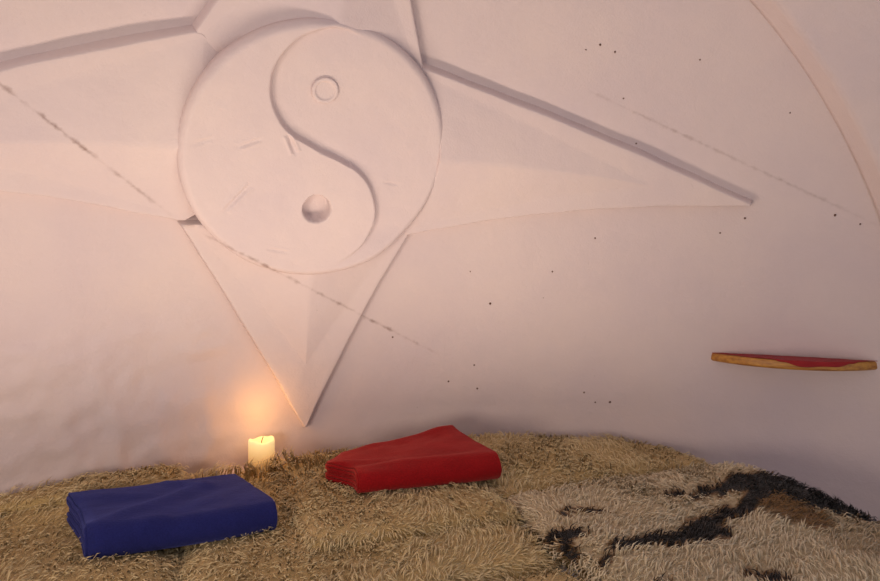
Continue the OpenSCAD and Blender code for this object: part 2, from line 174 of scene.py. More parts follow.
def put(name, points, faces, material, smooth=True):
    """Makes a piece of whole arrays: points (n x 3), and faces as arrays of triangles or quads."""
    points = np.asarray(points, float).reshape(-1, 3)
    faces = [np.asarray(f, np.int64) for f in faces if len(f)]
    edges, volume, tris = measure(points, faces)
    if volume < 0:
        faces = [f[:, ::-1] for f in faces]
    mesh = bpy.data.meshes.new(name)
    mesh.vertices.add(len(points))
    mesh.vertices.foreach_set("co", points.astype(np.float32).ravel())
    corners = np.concatenate([f.ravel() for f in faces])
    sizes = np.concatenate([np.full(len(f), f.shape[1]) for f in faces])
    mesh.loops.add(len(corners))
    mesh.loops.foreach_set("vertex_index", corners.astype(np.int32))
    mesh.polygons.add(len(sizes))
    mesh.polygons.foreach_set("loop_start", (np.cumsum(sizes) - sizes).astype(np.int32))
    mesh.polygons.foreach_set("use_smooth", np.full(len(sizes), smooth))
    mesh.update(calc_edges=True)
    mesh.materials.append(material)
    obj = in_scene(name, mesh)
    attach(obj, "root")
    print(f"{name}: {tris} triangles, {edges} open edges, {abs(volume):.4f} m3")
    return obj


def paint(obj, name, values):
    """Stores one number a point, from 0 to 1, which a material reads by that name."""
    layer = obj.data.attributes.new(name, "FLOAT", "POINT")
    layer.data.foreach_set("value", np.asarray(values, np.float32).ravel())


def thicken(obj, thickness):
    """Makes a sheet without thickness a cloth, half of it on either side of the sheet."""
    solid = obj.modifiers.new("thickness", "SOLIDIFY")
    solid.thickness, solid.offset = thickness, 0.0


# %% [markdown]
# Materials are small graphs of nodes. `hue` turns a colour as it is written on a screen into
# the linear one that light adds up in. `add` puts a node into the graph that a socket belongs
# to, and returns one of its outputs, which the next node takes. A Mix node has its share at
# input 0, its two colours at 6 and 7 and the mixed colour at output 2.

# %% Nodes and colours
def hue(code):
    """sRGB hex to linear: divide by 12.92 near black, else ((c + 0.055) / 1.055) to 2.4."""
    c = np.array([int(code[i:i + 2], 16) for i in (1, 3, 5)]) / 255
    return (*np.where(c < 0.04045, c / 12.92, ((c + 0.055) / 1.055) ** 2.4), 1.0)


def connect(node, inputs):
    """Gives inputs, by name or number, a value or a link from another node's output."""
    for key, value in inputs.items():
        if isinstance(value, bpy.types.NodeSocket):
            node.id_data.links.new(value, node.inputs[key])
        else:
            node.inputs[key].default_value = value


def add(graph, kind, inputs=None, out=0, **settings):
    """Adds a node to the graph of a socket, or to a node tree, and returns one output."""
    node = graph.id_data.nodes.new("ShaderNode" + kind)
    for key, value in settings.items():
        setattr(node, key, value)
    connect(node, inputs or {})
    return node.outputs[out]


def new_material(name):
    """A material with only its shader and output, that shader, and the place on the object."""
    material = bpy.data.materials.new(name)
    material.use_nodes = True
    tree = material.node_tree
    return material, tree.nodes["Principled BSDF"], add(tree, "TexCoord", out="Object")


print("snow's #D9CCC8 is", [round(x, 3) for x in hue("#D9CCC8")], "in linear light")

# %% [markdown]
# ## Packed snow
# Snow that a machine blows over a form and that people then cut and rub is dense, matte and
# fine-grained. It carries thin layers of grit where one day's snow met the next: flat sheets
# through the whole dome, which show as lines wherever a surface cuts them. So each seam here
# is a plane in the object's own space, and it crosses wall and relief alike. A layer of 1 mm
# wouldn't show, so the seams are drawn one to two centimetres wide.

# %% Seams of grit
EYE = (-0.446, -1.811, 1.30)


def seam(p, q, start, end, strength):
    """The plane through two points and the camera's place, where it looks straight: its
    direction and distance from the origin, where it shows along x, and how strongly."""
    across = unit(np.cross(np.subtract(q, p), np.subtract(EYE, p)))
    return tuple(across), float(across @ p), start, end, strength


SEAMS = [seam((-0.884, 0.290, 1.728), (-0.491, 0.571, 1.422), -0.98, -0.47, 0.75),
         seam((-0.396, 0.611, 1.368), (0.499, 0.717, 0.897), -0.42, 0.52, 0.65),
         seam((0.965, 0.182, 1.832), (1.763, -0.176, 1.407), 0.85, 1.80, 0.40)]
print(len(SEAMS), "seams")

# %% [markdown]
# The snow's colour wanders between a warm white and a cooler, slightly mauve one over a few
# hands' breadths. The seams and some scattered specks darken it. Grains of 1 mm wouldn't show,
# so they're drawn 6 mm wide on the walls and 12 mm wide on the rougher bench.

# %% Snow material
def packed_snow(name, warm, cool, grain, lump, lumps):
    """Snow whose fine grain and coarser lumps are `grain` and `lump` metres wide, with lumps
    `lumps` metres high. A speck sits in about three of ten cells that are 11 cm wide."""
    material, shader, place = new_material(name)
    cloud = add(place, "TexNoise", {"Vector": place, "Scale": 1 / 0.35, "Detail": 4.0})
    colour = add(place, "Mix", {0: cloud, 6: hue(warm), 7: hue(cool)}, out=2, data_type="RGBA")
    ragged = add(place, "TexNoise", {"Vector": place, "Scale": 1 / 0.025, "Detail": 3.0})
    patchy = add(place, "TexNoise", {"Vector": place, "Scale": 1 / 0.06, "Detail": 2.0})
    x = add(place, "SeparateXYZ", {"Vector": place}, out="X")
    for across, distance, start, end, strength in SEAMS:
        along = add(place, "VectorMath", {0: place, 1: across}, out="Value",
                    operation="DOT_PRODUCT")
        off = add(place, "Math", {0: along, 1: distance}, operation="SUBTRACT")
        near = add(place, "Math", {0: off}, operation="ABSOLUTE")
        wave = add(place, "Math", {0: ragged, 1: 0.026, 2: near}, operation="MULTIPLY_ADD")
        line = add(place, "MapRange", {"Value": wave, "From Min": 0.022, "From Max": 0.007},
                   interpolation_type="SMOOTHSTEP")
        begin = add(place, "MapRange", {"Value": x, "From Min": start, "From Max": start + 0.08})
        finish = add(place, "MapRange", {"Value": x, "From Min": end, "From Max": end - 0.2})
        rough = add(place, "MapRange", {"Value": patchy, "From Min": 0.34, "From Max": 0.64,
                                        "To Min": 0.12, "To Max": strength})
        mask = add(place, "Math", {0: begin, 1: finish}, operation="MULTIPLY")
        for other in (line, rough):
            mask = add(place, "Math", {0: other, 1: mask}, operation="MULTIPLY")
        colour = add(place, "Mix", {0: mask, 6: colour, 7: hue("#6E4E3E")}, out=2,
                     data_type="RGBA")
    cells = add(place, "TexVoronoi", {"Vector": place, "Scale": 1 / 0.11})
    spot = add(place, "MapRange", {"Value": cells, "From Min": 0.045, "From Max": 0.025})
    chance = add(place, "SeparateColor", {"Color": cells.node.outputs["Color"]})
    some = add(place, "Math", {0: chance, 1: 0.72}, operation="GREATER_THAN")
    speck = add(place, "Math", {0: spot, 1: some}, operation="MULTIPLY")
    dirty = add(place, "Mix", {0: speck, 6: colour, 7: hue("#5C4436")}, out=2, data_type="RGBA")
    broad = add(place, "TexNoise", {"Vector": place, "Scale": 1 / lump, "Detail": 4.0,
                                    "Roughness": 0.55})
    fine = add(place, "TexNoise", {"Vector": place, "Scale": 1 / grain, "Detail": 3.0})
    low = add(place, "Bump", {"Height": broad, "Distance": lumps})
    high = add(place, "Bump", {"Height": fine, "Distance": grain * 0.16, "Strength": 0.7,
                               "Normal": low})
    connect(shader, {"Base Color": dirty, "Normal": high, "Roughness": 0.85,
                     "Specular IOR Level": 0.25, "IOR": 1.31})
    print(name, "has", len(place.id_data.nodes), "nodes")
    return material


CARVED = packed_snow("rubbed packed snow", "#E0D0C9", "#CDBFC4", 0.006, 0.07, 0.004)
BLOWN = packed_snow("blown snow, weathered", "#E9E6E4", "#DADCE2", 0.012, 0.05, 0.012)

# %% [markdown]
# ## The alcove's wall
# The wall is a dome that comes down to the floor: a sphere above the springing and an upright
# round below it. A grid of half circles would crowd its points at a pole, so a square is
# stretched over the half disc behind the arch instead, which keeps its cells nearly even.
# Then y follows from the radius.

# %% Dome grids
def dome_grid(radius, high, cols, rows, foot_rows):
    """A half disc from a square: x = w u sqrt(1 - v v / 2), z = w v sqrt(1 - u u / 2), with w
    the half width at the arch, then y from x x + y y + z z = radius squared. u and v are sines
    of even angles, so the cells stay even along the curve. Below it, an upright round."""
    wide = math.sqrt(radius ** 2 - ARCH_Y ** 2)
    most = math.asin(wide / radius)
    u = np.sin(np.linspace(-most, most, cols + 1)) / math.sin(most)
    v = np.sin(np.linspace(0, most, rows + 1)) / math.sin(most)
    u, v = np.meshgrid(u, v)
    x = wide * u * np.sqrt(1 - v * v / 2)
    z = wide * v * np.sqrt(1 - u * u / 2)
    y = np.sqrt(np.maximum(radius ** 2 - x * x - z * z, ARCH_Y ** 2))
    upper = np.stack([x, y, z + high], -1)
    foot = np.repeat(upper[:1], foot_rows, 0)
    foot[..., 2] = np.linspace(0, high, foot_rows + 1)[:-1, None]
    return np.concatenate([foot, upper]) + [0, DOME[1], 0]


def join_two_to_one(fine, coarse):
    """Triangles between a row of 2n + 1 points and one of n + 1, three to each coarse edge."""
    a, b, c = fine[:-2:2], fine[1:-1:2], fine[2::2]
    p, q = coarse[:-1], coarse[1:]
    return np.concatenate([np.stack(t, -1) for t in ((p, q, b), (p, b, a), (q, c, b))])


inner = dome_grid(ROOM_R, DOME[2], 288, 144, 32)
outer = dome_grid(OUTER_R, OUTER_UP, 144, 74, 14)
print("inner grid", inner.shape, "outer grid", outer.shape)

# %% [markdown]
# People smoothed the inside with a board, which left long shallow waves, but low on the left
# the snow stayed billowy. The outside was never touched, and the wind has rippled it.
# Near the arch both surfaces keep to their radius, so that they meet it.

# %% Waves in the snow
def toward_room(p):
    """Unit directions to the dome's centre, level below the springing."""
    d = DOME - p
    d[..., 2] = np.where(p[..., 2] < DOME[2], 0, d[..., 2])
    return unit(d)


def rubbed(p):
    """Waves of three lengths, in metres into the room."""
    return (0.007 * cloudy(p, 0.62, 11) + 0.0035 * cloudy(p, 0.21, 12)
            + 0.0014 * cloudy(p, 0.075, 13))


def billowy(p):
    """Heaps a hand wide, low on the left: rounded by folding the unevenness over at zero."""
    where = step(p[..., 0], -0.22, -0.42) * step(p[..., 2], 1.16, 1.0)
    heap = 1 - np.abs(cloudy(p, 0.15, 21) + 0.6 * cloudy(p, 0.07, 22)) * 1.6
    return where * (0.010 * heap + 0.005 * cloudy(p, 0.040, 23) + 0.0025 * cloudy(p, 0.022, 24))


fade = step(inner[..., 1] - DOME[1] - ARCH_Y, 0.0, 0.06)[..., None]
inner = inner + toward_room(inner) * (rubbed(inner) + billowy(inner))[..., None] * fade
ripple = 0.012 * cloudy(outer, 0.45, 31) + 0.007 * cloudy(outer * [1, 1, 2.2], 0.16, 32)
fade = step(outer[..., 1] - DOME[1] - ARCH_Y, 0.0, 0.1)
outer = outer + toward_room(outer) * ((ripple + 0.012) * fade)[..., None]
inner[0, :, 2] = outer[0, :, 2] = 0
print("the inside moves by up to", round(float(np.abs(rubbed(inner) + billowy(inner)).max()), 4))

# %% The wall as one closed shell
def shell(fine, coarse):
    """A closed shell of two grids, the fine one with twice the rows and columns, joined
    round their rims by triangles."""
    r, c = fine.shape[:2]
    rr, cc = coarse.shape[:2]
    i = np.arange(r * c).reshape(r, c)
    j = r * c + np.arange(rr * cc).reshape(rr, cc)
    rims = [join_two_to_one(i[0], j[0]), join_two_to_one(i[:, -1], j[:, -1]),
            join_two_to_one(i[-1, ::-1], j[-1, ::-1]), join_two_to_one(i[::-1, 0], j[::-1, 0])]
    points = np.concatenate([fine.reshape(-1, 3), coarse.reshape(-1, 3)])
    return points, [grid_faces(r, c)[:, ::-1], grid_faces(rr, cc, r * c), *rims]


wall = put("alcove_wall", *shell(inner, outer), CARVED)
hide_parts("wall_far_left", "wall_left", "wall_middle", "wall_right", "wall_far_right")

# %% [markdown]
# ## The arch
# In front of the alcove the room's own vault stands 6 cm further in, so the alcove ends in a
# band that slopes out to its wall. One cross-section of that band is carried from the right
# foot up, over and down to the left foot. Its parts are worked out at every station, because
# the outer dome's centre lies lower than the inner one's, so the band is thinner at its crown.

# %% Stations along the arch
foot_z = np.linspace(0, DOME[2], 30)[:-1]
turn = np.linspace(0, math.pi, 330)
side = np.concatenate([np.ones(len(foot_z)), np.cos(turn), -np.ones(len(foot_z))])
rise = np.concatenate([np.zeros(len(foot_z)), np.sin(turn), np.zeros(len(foot_z))])
base = np.concatenate([foot_z, np.full(len(turn), DOME[2]), foot_z[::-1]])
print(len(side), "stations")

# %% The arch's cross-section
def arch_inside(y):
    """Distance of the band's inner face from the level axis: the vault's sphere, then the
    straight slope out to the wall."""
    near = ARCH_Y - ARCH_SLOPE
    vault = np.sqrt((ROOM_R - ARCH_STEP) ** 2 - np.minimum(y, near) ** 2)
    slope = (y - near) / ARCH_SLOPE
    out = math.sqrt(ROOM_R ** 2 - ARCH_Y ** 2)
    lip = math.sqrt((ROOM_R - ARCH_STEP) ** 2 - near ** 2)
    return np.where(y > near, lip + (out - lip) * slope, vault)


def arch_outside(y):
    """Where each station's ray meets the outer dome, or its upright foot: the larger root k of
    |k d + (0, b)| = w, with w the outer half width at y and b the ray's start over its centre."""
    w = np.sqrt(OUTER_R ** 2 - y ** 2)[None, :]
    b = np.maximum(base - OUTER_UP, 0)[:, None]
    s = rise[:, None] * b
    return -s + np.sqrt(s * s - b * b + w * w)


slope_y = ARCH_Y - ARCH_SLOPE
inside_y = np.concatenate([np.linspace(FRONT_Y + ARCH_EDGE, slope_y, 28)[:-1],
                           np.linspace(slope_y, ARCH_Y, 7)])
outside_y = np.linspace(ARCH_Y, FRONT_Y + ARCH_EDGE, 20)
reach_in = np.repeat(arch_inside(inside_y)[None, :], len(side), 0)
reach_out = arch_outside(outside_y)
front_in, front_out = reach_in[:, :1] + ARCH_EDGE, reach_out[:, -1:] - ARCH_EDGE
reach_front = front_out + (front_in - front_out) * np.linspace(0, 1, 17)
reach = np.concatenate([reach_in, reach_out, reach_front], 1)
along = np.concatenate([inside_y, outside_y, np.full(reach_front.shape[1], FRONT_Y)])
print("cross-section of", reach.shape[1], "points")

# %% The arch as a closed tube
def arch_points(reach, along):
    """Station's place + reach times its direction, at each depth."""
    x = reach * side[:, None]
    z = base[:, None] + reach * rise[:, None]
    y = np.broadcast_to(along[None, :] + DOME[1], x.shape)
    return np.stack([x, y, z], -1)


band = arch_points(reach, along)
back, front = len(inside_y), len(inside_y) + len(outside_y)
waves = rubbed(band) + 0.002 * cloudy(band, 0.05, 41)
waves[:, back:front] = (0.012 + 0.010 * cloudy(band, 0.3, 42))[:, back:front]
waves[:, front:] = 0
fade = step(ARCH_Y - along, 0.0, 0.07)[None, :, None]
band = band + toward_room(band) * waves[..., None] * fade
face = 0.005 * cloudy(band, 0.25, 43) + 0.003 * cloudy(band, 0.08, 44) + 0.004
band[:, front:, 1] += np.maximum(face, 0)[:, front:]
band[[0, -1], :, 2] = 0
arch = put("arch_band", *tube(band), CARVED)
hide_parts("arch_left_foot", "arch_left_haunch", "arch_crown", "arch_right_haunch",
            "arch_right_foot")

# %% [markdown]
# ## The star
# The star was left standing when the wall round it was cut back by 4.5 cm, and a second,
# ridged star was then cut into its top. It has four arms, like the star of a compass.
# The two edges of the upper arm lean together and would meet just under the arch. (The part's
# source still has two upper arms, and the one arm here stands for both.) An arm is laid out
# on the wall as on a map: metres across and up from the star's centre. A map point is put on
# the dome by going that far along the wall, and a height brings it into the room.

# %% The star's map
# The inner corners between the arms: metres from the centre, and degrees. The last is the
# first again, a turn later.
NOTCH = np.array([[0.510, 210], [0.478, 321], [0.452, 404.5], [0.533, 498.3], [0.510, 570]])
ARM_DIR = np.array([271, 362, 448, 538])
RIDGE_H, RIDGE_SHARE = 0.060, 0.77


def star_turned(local):
    """Points of the star's own frame, whose y points from the dome's centre through the sign,
    lifted about x, turned about z, and moved to the dome's centre."""
    x, y, z = np.moveaxis(local, -1, 0)
    y, z = (y * math.cos(STAR_LIFT) - z * math.sin(STAR_LIFT),
            y * math.sin(STAR_LIFT) + z * math.cos(STAR_LIFT))
    x, y = (x * math.cos(STAR_TURN) - y * math.sin(STAR_TURN),
            x * math.sin(STAR_TURN) + y * math.cos(STAR_TURN))
    return np.stack([x, y, z], -1) + DOME


def on_map(p, q, height):
    """Map to dome: the way s = |(p, q)| is an angle s / R from the star's axis."""
    s = np.hypot(p, q)
    angle, r = s / ROOM_R, ROOM_R - height
    flat = r * np.sin(angle) / np.maximum(s, 1e-9)
    return star_turned(np.stack([flat * p, r * np.cos(angle), flat * q], -1))


def to_arch(direction):
    """The way from the star's centre to the arch, in metres along the wall: the angle t at
    which cos t cos lift - sin t sin a sin lift is the arch's distance over the radius."""
    a, b = math.cos(STAR_LIFT), math.sin(math.radians(direction)) * math.sin(STAR_LIFT)
    return ROOM_R * (math.acos(ARCH_Y / ROOM_R / math.hypot(a, b)) - math.atan2(b, a))


ARM_LEN = np.array([1.08, 1.60, to_arch(448) - 0.03, 1.54])
print("the arms reach", ARM_LEN.round(3))

# %% [markdown]
# Each arm is a row of cross-sections from under the sign out to its tip. A cross-section
# starts inside the wall, climbs the steep side, follows the narrow flat band, rises to the
# ridge, and goes down the same way. The steep side is a few points with a worn, rounded top.

# %% One arm of the star
SIDE_OUT = np.array([0.0022, 0.0048, 0.0070, 0.0085, 0.0105, 0.014])
SIDE_DOWN = np.array([0.0008, 0.0040, 0.0110, 0.024, 0.045, 0.080])


def arm(i, rows):
    """One arm's loops. At the distance l along the arm, half its width is w_notch (L - l) /
    (L - l_notch), and before its notch l times the notch's slope. The ridge stands
    h (l_tip - l) / (l_tip - r_sign) over the flat, and falls straight to the inner edge.
    Inside the sign's edge everything drops, and stays hidden in the sign."""
    length, tip, a = ARM_LEN[i], ARM_LEN[i] * RIDGE_SHARE, math.radians(ARM_DIR[i])
    l = np.concatenate([np.linspace(0.27, 0.35, 6)[:-1], np.linspace(0.35, 0.46, 28)[:-1],
                        np.linspace(0.46, length - 0.004, rows - 32),
                        length + SIDE_OUT - 0.004])
    drop_end = np.concatenate([np.zeros(rows), SIDE_DOWN])[:, None]
    high = RIDGE_H * np.clip((tip - l) / (tip - SIGN_R), 0, 1.2)[:, None]
    sides = []
    for (far, angle), sign in zip(NOTCH[i:i + 2], (-1, 1)):
        gap = math.radians(abs(ARM_DIR[i] - angle))
        at, wide = far * math.cos(gap), far * math.sin(gap)
        beyond = wide * (length - l) / (length - at)
        before = l * wide / at + 0.012 * step(at - l, 0, 0.02)
        half = np.maximum(np.where(l < at, before, beyond), 0.0012)[:, None]
        inner_edge = wide * 0.95 * (tip - l) / (tip - at * 0.98)
        inner_edge = np.clip(inner_edge[:, None], 0.0006, half * 0.985)
        t = np.linspace(0, 1, 16)[1:]
        flat = inner_edge + (half - inner_edge) * np.linspace(0, 1, 7)[1:]
        across = np.concatenate([inner_edge * t, flat, half + SIDE_OUT], 1) * sign
        up = [high * (1 - t), 0 * flat, np.tile(-SIDE_DOWN, (len(l), 1))]
        sides.append((across, np.concatenate(up, 1)))
    (left, left_up), (right, right_up) = sides
    across = np.concatenate([left[:, ::-1], 0 * high, right, right[:, -1:] / 2, 0 * high,
                             left[:, -1:] / 2], 1)
    up = np.concatenate([left_up[:, ::-1], high, right_up], 1)
    up = np.minimum(up, np.maximum(up, 0) * (drop_end == 0) - drop_end)
    height = np.concatenate([STAR_H + up, np.full((len(l), 3), -STAR_H)], 1)
    p = l[:, None] * math.cos(a) - across * math.sin(a)
    q = l[:, None] * math.sin(a) + across * math.cos(a)
    place = on_map(p, q, height)
    cut = 0.0016 * cloudy(place, 0.06, 51 + i) + 0.0030 * cloudy(place, 0.22, 61 + i)
    wobble = 0.0035 * cloudy(place, 0.12, 71 + i)
    height = height + np.where(height > 0.01, cut, 0)
    p, q = p + wobble * math.sin(a), q - wobble * math.cos(a)
    hidden = step(np.hypot(p, q), SIGN_R - 0.002, SIGN_R - 0.014)
    return on_map(p, q, height + (np.minimum(height, 0.030) - height) * hidden)


for i, node in enumerate(("star_arm_down", "star_arm_right", "star_arm_up", "star_arm_left")):
    loops = arm(i, 32 + int((ARM_LEN[i] - 0.46) / 0.0085))
    piece = put("carved_" + node, *tube(loops), CARVED)
    both = ("star_arm_upper_left", "star_arm_upper_right") if i == 2 else (node,)
    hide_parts(*both)

# %% [markdown]
# ## The sign
# The sign is a thick round of snow. One half of it is cut 3 cm lower along an S-shaped line,
# which is made of parts of two circles and the straight line that touches both, so the whole
# is the old sign of two commas. The raised comma has a round hole for its eye, and the lower
# one a ringed boss. The face is worked out on rings about the sign's middle, and each feature
# only changes the height there. The S is traced from the photograph, so its circles are a
# little smaller and higher than in the part's source, which has them by the compass.

# %% Distances on the sign's face
UPPER_HEAD, UPPER_R = np.array([0.020, 0.225]), 0.192
LOWER_HEAD, LOWER_R = np.array([0.022, -0.203]), 0.194
BOSS_AT, HOLE_AT = (-0.001, 0.216), (0.006, -0.186)
SIGN_STEP = 0.032
apart = UPPER_HEAD - LOWER_HEAD
lean = math.acos((UPPER_R + LOWER_R) / np.linalg.norm(apart)) + math.atan2(-apart[0], apart[1])
S_NORMAL = np.array([math.sin(lean), math.cos(lean)])
S_WAY = np.array([S_NORMAL[1], -S_NORMAL[0]])


def lower_side(x, z):
    """Signed distance into the lower comma: along the straight part of the S, the height over
    that line; to its left, the way inside the upper head; to its right, the way outside the
    lower head."""
    place = np.stack([x, z], -1)
    inside = UPPER_R - np.linalg.norm(place - UPPER_HEAD, axis=-1)
    outside = np.linalg.norm(place - LOWER_HEAD, axis=-1) - LOWER_R
    over = (place - UPPER_HEAD) @ S_NORMAL + UPPER_R
    s = place @ S_WAY
    return np.where(s < UPPER_HEAD @ S_WAY, inside,
                    np.where(s > LOWER_HEAD @ S_WAY, outside, over))


def cut_mark(x, z, start, end, wide, deep):
    """A tool mark: a groove along a line, deep in the middle, that runs out at both ends."""
    t, off = near_line(x, z, start, end)
    off = off / wide
    lip = 0.35 * np.exp(-((off - 1.5) / 0.5) ** 2)
    return deep * (np.exp(-off ** 2 * 1.6) * (0.35 + 2.6 * t * (1 - t)) - lip * (t > 0) * (t < 1))


MARKS = [((-0.394, 0.029), (-0.340, 0.046), 0.006, 0.005),
         ((-0.262, 0.020), (-0.195, 0.049), 0.007, 0.005),
         ((-0.292, -0.190), (-0.219, -0.108), 0.008, 0.008),
         ((-0.108, 0.067), (-0.080, 0.008), 0.009, 0.010),
         ((0.240, -0.088), (0.292, -0.092), 0.006, 0.004),
         ((-0.150, -0.330), (-0.080, -0.345), 0.006, 0.004)]
print(len(MARKS), "tool marks")

# %% The sign's rings
ring_r = np.concatenate([np.linspace(0.002, 0.412, 100), [0.4155, 0.4200, 0.4255, 0.4305,
                                                          0.4348, 0.4380, 0.4396, SIGN_R]])
ring_in = np.concatenate([np.zeros(100), [0.0006, 0.0024, 0.0062, 0.0112, 0.0170, 0.0240,
                                          0.0320, 0.0400]])[:, None]
phi = circle(360)
x, z = ring_r[:, None] * np.cos(phi), ring_r[:, None] * np.sin(phi)
flat = np.stack([x, 0 * x, z], -1)
wave_x, wave_z = 0.003 * cloudy(flat, 0.07, 81), 0.003 * cloudy(flat, 0.07, 82)
lower = step(lower_side(x + wave_x, z + wave_z), -0.007, 0.007)
lower = np.maximum(lower, step(x, -0.02, 0.10) * step(z, 0.36, 0.40))
down = SIGN_STEP * lower * step(z, -0.41, -0.25)
eye = np.hypot(x - HOLE_AT[0] + wave_x * 0.5, z - HOLE_AT[1] + wave_z * 0.5)
down = down + 0.050 * step(eye, 0.0500, 0.0430)
for mark in MARKS:
    down = down + cut_mark(x, z, *mark)
face_h = (SIGN_H - down - ring_in + 0.0024 * cloudy(flat, 0.15, 83)
          + 0.0012 * cloudy(flat, 0.045, 84))
y = np.sqrt((ROOM_R - face_h) ** 2 - x * x - z * z)
rim_y = y[-1] + np.linspace(0, 1, 9)[1:, None] * (ROOM_R + 0.02 - y[-1])
rim = np.stack(np.broadcast_arrays(x[-1], rim_y, z[-1]), -1)
rim[..., [0, 2]] *= 1 + 0.004 * cloudy(rim, 0.09, 85)[..., None]
loops = np.concatenate([np.stack([x, y, z], -1), rim])
sign = put("carved_sign", *tube(star_turned(loops)), CARVED)
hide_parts("sign_disc")

# %% The lower comma's eye
rho = np.array([0.001, 0.008, 0.016, 0.024, 0.0285, 0.0305, 0.0325, 0.0350, 0.0385, 0.0410,
                0.0425, 0.0432, 0.0440])[:, None]
rise_h = np.array([0.0050, 0.0050, 0.0051, 0.0052, 0.0058, 0.0080, 0.0098, 0.0105, 0.0105,
                   0.0098, 0.0070, 0.0025, -0.020])[:, None]
around = circle(96)
x = BOSS_AT[0] + rho * np.cos(around)
z = BOSS_AT[1] + rho * np.sin(around)
soft = 0.0008 * cloudy(np.stack([x, 0 * x, z], -1), 0.03, 86)
y = np.sqrt((ROOM_R - SIGN_H + SIGN_STEP - rise_h - soft) ** 2 - x * x - z * z)
boss = put("carved_boss", *tube(star_turned(np.stack([x, y, z], -1))), CARVED)
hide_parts("sign_boss")

# %% [markdown]
# ## The bench and the ledge
# The bench is a block of the same snow, shovelled, stamped and trimmed, with edges that wear
# round. A block with rounded edges is a stack of loops: one outline, drawn in a little where
# the edge rounds, and shrunk to its middle over the top and the bottom.

# %% Blocks with rounded edges
def outline_points(corners, count):
    """Points spaced evenly along a closed line through many corners."""
    closed = np.concatenate([corners, corners[:1]])
    way = np.concatenate([[0], np.cumsum(np.linalg.norm(np.diff(closed, axis=0), axis=1))])
    at = np.linspace(0, way[-1], count + 1)[:-1]
    return np.stack([np.interp(at, way, closed[:, k]) for k in (0, 1)], -1)


def block(outline, low, high, edge, side_rows, top_rings, lower_edge=0.0):
    """Loops of a block from the middle of its bottom to the middle of its top. Its edges are
    quarter rounds: inset r (1 - cos a), height r sin a."""
    middle = outline.mean(0)
    ahead = np.roll(outline, -1, 0) - np.roll(outline, 1, 0)
    normal = unit(np.stack([ahead[:, 1], -ahead[:, 0]], -1))
    if ((outline - middle) * normal).sum() < 0:
        normal = -normal
    turns = np.linspace(0, math.pi / 2, 7)
    under = outline - normal * lower_edge
    loops = [(middle + (under - middle) * k, low) for k in (0.02, 0.5, 0.97)]
    for t in turns[:-1] if lower_edge else []:
        loops.append((outline - normal * lower_edge * (1 - math.sin(t)),
                      low + lower_edge * (1 - math.cos(t))))
    loops += [(outline, z) for z in np.linspace(low + lower_edge, high - edge, side_rows)]
    for t in turns[1:]:
        loops.append((outline - normal * edge * (1 - math.cos(t)),
                      high - edge + edge * math.sin(t)))
    rim = loops[-1][0]
    loops += [(middle + (rim - middle) * (1 - 0.995 * k), high)
              for k in np.linspace(0, 1, top_rings + 1)[1:]]
    return np.stack([np.concatenate([xy, np.full((len(xy), 1), z)], 1) for xy, z in loops])


CORNER = 0.06
x = np.linspace(-BENCH_X, BENCH_X, 60)
back = np.stack([x, DOME[1] + np.sqrt(ROOM_R ** 2 - x * x)], -1)
turn = np.linspace(0, math.pi / 2, 8)[::-1]
front_right = np.array([BENCH_X - CORNER, BENCH_FRONT + CORNER]) + CORNER * np.stack(
    [np.sin(turn), -np.cos(turn)], -1)
front_left = (front_right * [-1, 1])[::-1]
bench_line = outline_points(np.concatenate([back, front_right, front_left]), 300)
bench_line[:, 1] = np.maximum(bench_line[:, 1], BENCH_FRONT)
points = block(bench_line, 0.0, BENCH_TOP, 0.035, 24, 10)
inward = unit(np.array([0, -0.3, 0.2]) - points)
rough = 0.010 + 0.009 * cloudy(points, 0.19, 91) + 0.005 * cloudy(points, 0.06, 92)
on_side = (points[..., 2] > 0.001) & (points[..., 2] < BENCH_TOP - 0.02)
points[..., :2] += (inward * (rough * on_side)[..., None])[..., :2]
bench = put("snow_bench", *tube(points), BLOWN)
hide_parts("bench_left", "bench_middle", "bench_right")

# %% The ledge under the candle
lo, hi = (np.array(c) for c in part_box("candle_ledge"))
t = circle(80)
centre, half = (lo + hi)[:2] / 2, (hi - lo)[:2] / 2
ledge_line = centre + rounded_box(t, *half, 6)[:, None] * ray(t)
points = block(ledge_line, lo[2], hi[2], 0.012, 5, 14)
points[..., 2] -= np.where(points[..., 2] > hi[2] - 0.001,
                           0.0015 + 0.0015 * cloudy(points, 0.04, 93), 0)
ledge = put("snow_ledge", *tube(points), CARVED)
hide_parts("candle_ledge")

# %% [markdown]
# ## The sheepskins
# Ten skins lie in two layers, edge to edge, with the wool up. The wool is 3 to 4 cm long, and
# it hangs together in locks that bend over and come to a point in groups. A skin is made in
# two pieces here. Its body is a closed, crowned form, rounded down to the snow all round, and
# the locks are small bent spikes with their roots in it, a few thousand to each skin. A real
# fleece has far more hairs than that, so the locks show its lie and the body's own material
# shows the wool between them.

